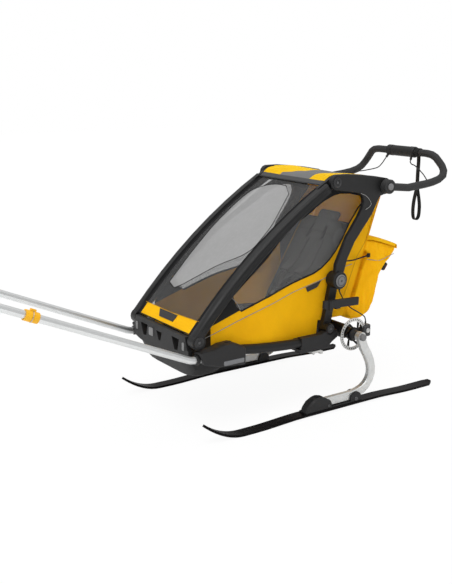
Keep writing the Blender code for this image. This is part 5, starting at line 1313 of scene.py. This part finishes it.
def wrist_strap():
    body = "wrist_strap"
    angles = [-62 + 304 * i / 30 for i in range(31)]
    wrap = round_points(at(STRAP_X, 0.515, 1.0), Vector((0, 1, 0)), Vector((0, 0, 1)), 0.0188, angles)
    strap("strap_wrap", wrap, STRAP_WIDTH, 0.0020, "webbing", body)
    stem = curve([at(STRAP_X, y, z) for y, z in STRAP_STEM], 20)
    strap("strap_stem", stem, STRAP_WIDTH, 0.0040, "webbing", body)
    loop = [at(STRAP_X, y, z) for y, z in curve(STRAP_LOOP, 64)]
    strap("strap_loop", loop, STRAP_WIDTH, 0.0022, "webbing", body, ["wrist_strap"])
    box = rounded_box((0.5118, 0.845), (0.5182, 0.867), 0.001, 2)
    plate("strap_stitch", box, STRAP_X - 0.0103, STRAP_X + 0.0103, side_view, "webbing", body, 0.0006)


def cable(name, points, body, node):
    """A brake cable between its two ends; the CAD node follows the same route."""
    line = [at(*point) for point in curve(points, 40)]
    obj = rod(name, line, CABLE_RADIUS, "cable", body, 12, [node])
    tuple(line[0])
    sum((b - a).length for a, b in zip(line, line[1:]))
    [tuple(point) for point in line]
    return obj


def cables():
    for side, sign in SIDES:
        points = [(sign * x, y, z) for x, y, z in LOWER_CABLE]
        folding(cable(f"rear_brake_cable_{side}", points, "base", f"lower_cable_{side}"), CABLE_FOLD)
        for name, low, high in CABLE_ENDS:
            low, high = at(sign * low[0], *low[1:]), at(sign * high[0], *high[1:])
            line = [low.lerp(high, i / 5) for i in range(6)]
            end = rod(f"cable_end_{name}_{side}", line, 0.0036, "rubber", "base", 14, slot="cable_black")
            folding(end, CABLE_FOLD)
    for side, points in UPPER_CABLES.items():
        cable(f"bar_cable_{side}", points, "handlebar", f"upper_cable_{side}")


# Small parts on the frame

ARM_X = 0.240
ARM_FOOT = Vector((-0.772, 0.305))
ARM_RISE = math.radians(23.6)
ARM_TIP = -2.120
ARM_CLIP = -1.388
ARM_COLLAR = -0.757
ARM_SIDES = 28
MOUNT_FACE = 0.3410
# A ski mount's bolt: (share of its radius, height over the mount's face)
MOUNT_BOLT = (
    (0.0, 0.0012), (0.45, 0.0012), (0.5, 0.0022), (0.9, 0.0022), (1.0, 0.0012), (1.0, -0.001), (0.0, -0.001),
)
HEM_LOOP_X = 0.2410
HEM_LOOP = [(0.0486, 0.8681), (0.0768, 0.8557), (0.0971, 0.8376), (0.1064, 0.8203), (0.0959, 0.8087), (0.0769, 0.8000)]


def outer_face(node):
    """Distance from the middle plane to a node's outer side."""
    low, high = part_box(node)
    return max(abs(low[0]), abs(high[0]))


def ringed(radius, start, height):
    """Profile of a shallow cap with a groove and a raised middle."""
    shares = ((0.0, 0.75), (0.34, 0.75), (0.38, 0.35), (0.50, 0.35), (0.56, 1.0), (0.86, 1.0), (0.97, 0.7), (1.0, 0.3))
    cap = [(radius * across, start + height * up) for across, up in shares]
    return [*cap, (radius, start - 0.001), (0.0, start - 0.001)]


def hexagon(name, centre, radius, near, far, sign, body):
    plate(name, circle(centre, radius, 6), sign * near, sign * far, side_view, "bolt", body, 0.0006)


def pivots(side, sign):
    for name, node, centre, radius, height, bolt, proud, body in (
        ("front", "diagonal", FRONT_PIVOT, 0.0215, 0.0038, 0.0062, 0.0034, "front_frame"),
        ("top", "diagonal", TOP_PIVOT, 0.0212, 0.0042, 0.0058, 0.0037, "front_frame"),
        ("rear", "rear_node", REAR_PIVOT, 0.018, 0.0030, 0.0055, 0.0027, "base"),
    ):
        face = outer_face(f"{node}_{side}")
        turned(f"{name}_pivot_{side}", ringed(radius, face, height), centre, sign, "cap", body)
        hexagon(f"{name}_bolt_{side}", centre, bolt, face, face + proud, sign, body)
    face = outer_face(f"hinge_cap_{side}")
    low, high = face - 0.0004, face + 0.0008
    ring = [(0.0185, low), (0.0185, high), (0.0200, high), (0.0200, low), (0.0185, low)]
    turned(f"hinge_ring_{side}", ring, MIDDLE_PIVOT, sign, "plastic", "top_frame")
    hexagon(f"hinge_bolt_{side}", MIDDLE_PIVOT, 0.0060, low, face + 0.0009, sign, "top_frame")


def receiver_details(side, sign):
    box = rounded_box((-0.645, 0.268), (-0.551, 0.286), 0.0045)
    plate(f"reflector_{side}", box, sign * 0.2670, sign * 0.2692, side_view, "reflector", "base", 0.0007)

    def top_view(u, v, depth):
        return at(sign * v, u, depth)

    box = rounded_box((-0.624, 0.2315), (-0.596, 0.2485), 0.006)
    plate(f"receiver_latch_{side}", box, 0.3500, 0.3535, top_view, "rubber", "base", 0.0010)


def mount_bolts(side, sign):
    for name, centre, radius in (("clamp", (-0.030, 0.0290), 0.0085), ("hood", (-0.178, 0.0300), 0.0060)):
        profile = [(radius * share, MOUNT_FACE + proud) for share, proud in MOUNT_BOLT]
        turned(f"{name}_bolt_{side}", profile, centre, sign, "bolt", f"ski_{side}", 28)


def arm_point(y):
    """Centre of the tow arm at y."""
    return Vector((y, ARM_FOOT[1] + (ARM_FOOT[0] - y) * math.tan(ARM_RISE)))


def arm_details(side, sign):
    way = Vector((-math.cos(ARM_RISE), math.sin(ARM_RISE)))
    tilted = Vector((0, way[1], -way[0]))
    across = Vector((sign, 0, 0))

    def ring(centre, up, radius, angles):
        return round_points(at(sign * ARM_X, *centre), across, up, radius, angles)

    tip = arm_point(ARM_TIP)
    section = ((0.001, 0.0120), (0.0012, 0.0150), (0.004, 0.0160), (0.056, 0.0160), (0.059, 0.0148))
    rings = [ring(tip - way * distance, tilted, radius, full_turn(ARM_SIDES)) for distance, radius in section]
    finished(piece(f"arm_sleeve_{side}", *skin(rings), "rubber"), "base", "rubber")
    wire = ring(arm_point(ARM_CLIP), tilted, 0.0205, range(-70, 251, 10))
    rod(f"clip_wire_{side}", wire, 0.0012, "zinc", "base")
    section = ((0.0185, 0.0), (0.0195, 0.003), (0.0195, 0.012), (0.0180, 0.015))
    up = Vector((0, 0, 1))
    rings = [ring((ARM_COLLAR + depth, ARM_FOOT[1]), up, radius, full_turn(ARM_SIDES)) for radius, depth in section]
    finished(piece(f"arm_collar_{side}", *skin(rings), "plastic"), "base", "plastic")


def brake_details(side, sign):
    profile = [
        (0.0, 0.2885), (0.0060, 0.2885), (0.0075, 0.2875), (0.0095, 0.2875), (0.0105, 0.2862), (0.0105, 0.2830),
        (0.0, 0.2830),
    ]
    turned(f"caliper_piston_{side}", profile, (0.0745, 0.2935), sign, "zinc", "suspension", 32)
    lever = [(0.066, 0.300), (0.070, 0.318), (0.079, 0.321), (0.086, 0.316), (0.084, 0.298)]
    plate(f"caliper_lever_{side}", lever, sign * 0.2625, sign * 0.2735, side_view, "zinc", "suspension", 0.0015)


def diagonal_bindings(side, sign):
    for name, x, offset, radius in (
        ("keder", 0.2135, -0.0218, 0.0030),
        ("trim", 0.2080, 0.0165, 0.0032),
        ("ridge", 0.2398, 0.0075, 0.0014),
        ("groove", 0.2398, -0.0085, 0.0012),
    ):
        line = [at(sign * x, *diagonal_point(0.045 + 0.885 * i / 60, offset)) for i in range(61)]
        rod(f"diagonal_{name}_{side}", line, radius, "binding", "front_frame")


def small_parts():
    for side, sign in SIDES:
        for add in (pivots, receiver_details, mount_bolts, arm_details, brake_details, diagonal_bindings):
            add(side, sign)
        line = [at(sign * HEM_LOOP_X, y, z) for y, z in curve(HEM_LOOP, 30)]
        rod(f"hem_cord_{side}", line, 0.0011, "piping", "top_frame")


def panel_details():
    def front(u, v, depth):
        return at(u, -0.770 - depth, v)

    for name, low, high in (("middle", -0.080, -0.048), ("left", 0.172, 0.187), ("right", -0.187, -0.172)):
        box = rounded_box((low, 0.329), (high, 0.361), 0.005)
        plate(f"tab_{name}", box, -0.001, 0.0032, front, "tab", "base", 0.0010)
    box = rounded_box((0.150, 0.286), (0.182, 0.300), 0.004)
    plate("front_reflector", box, -0.001, 0.0024, front, "lens", "base", 0.0008)


bpy.context.scene.view_settings.view_transform = "Standard"
add_camera()
add_world()
add_sun()
add_floor()
looks = make_looks()
dress_nodes()
front_cover()
for side, sign in SIDES:
    side_panel(side, sign)
for build in (roof, rear_panel, cargo_bag, bag_lid, bag_details, cushions, sling, harness, wrist_strap, cables):
    build()
small_parts()
panel_details()
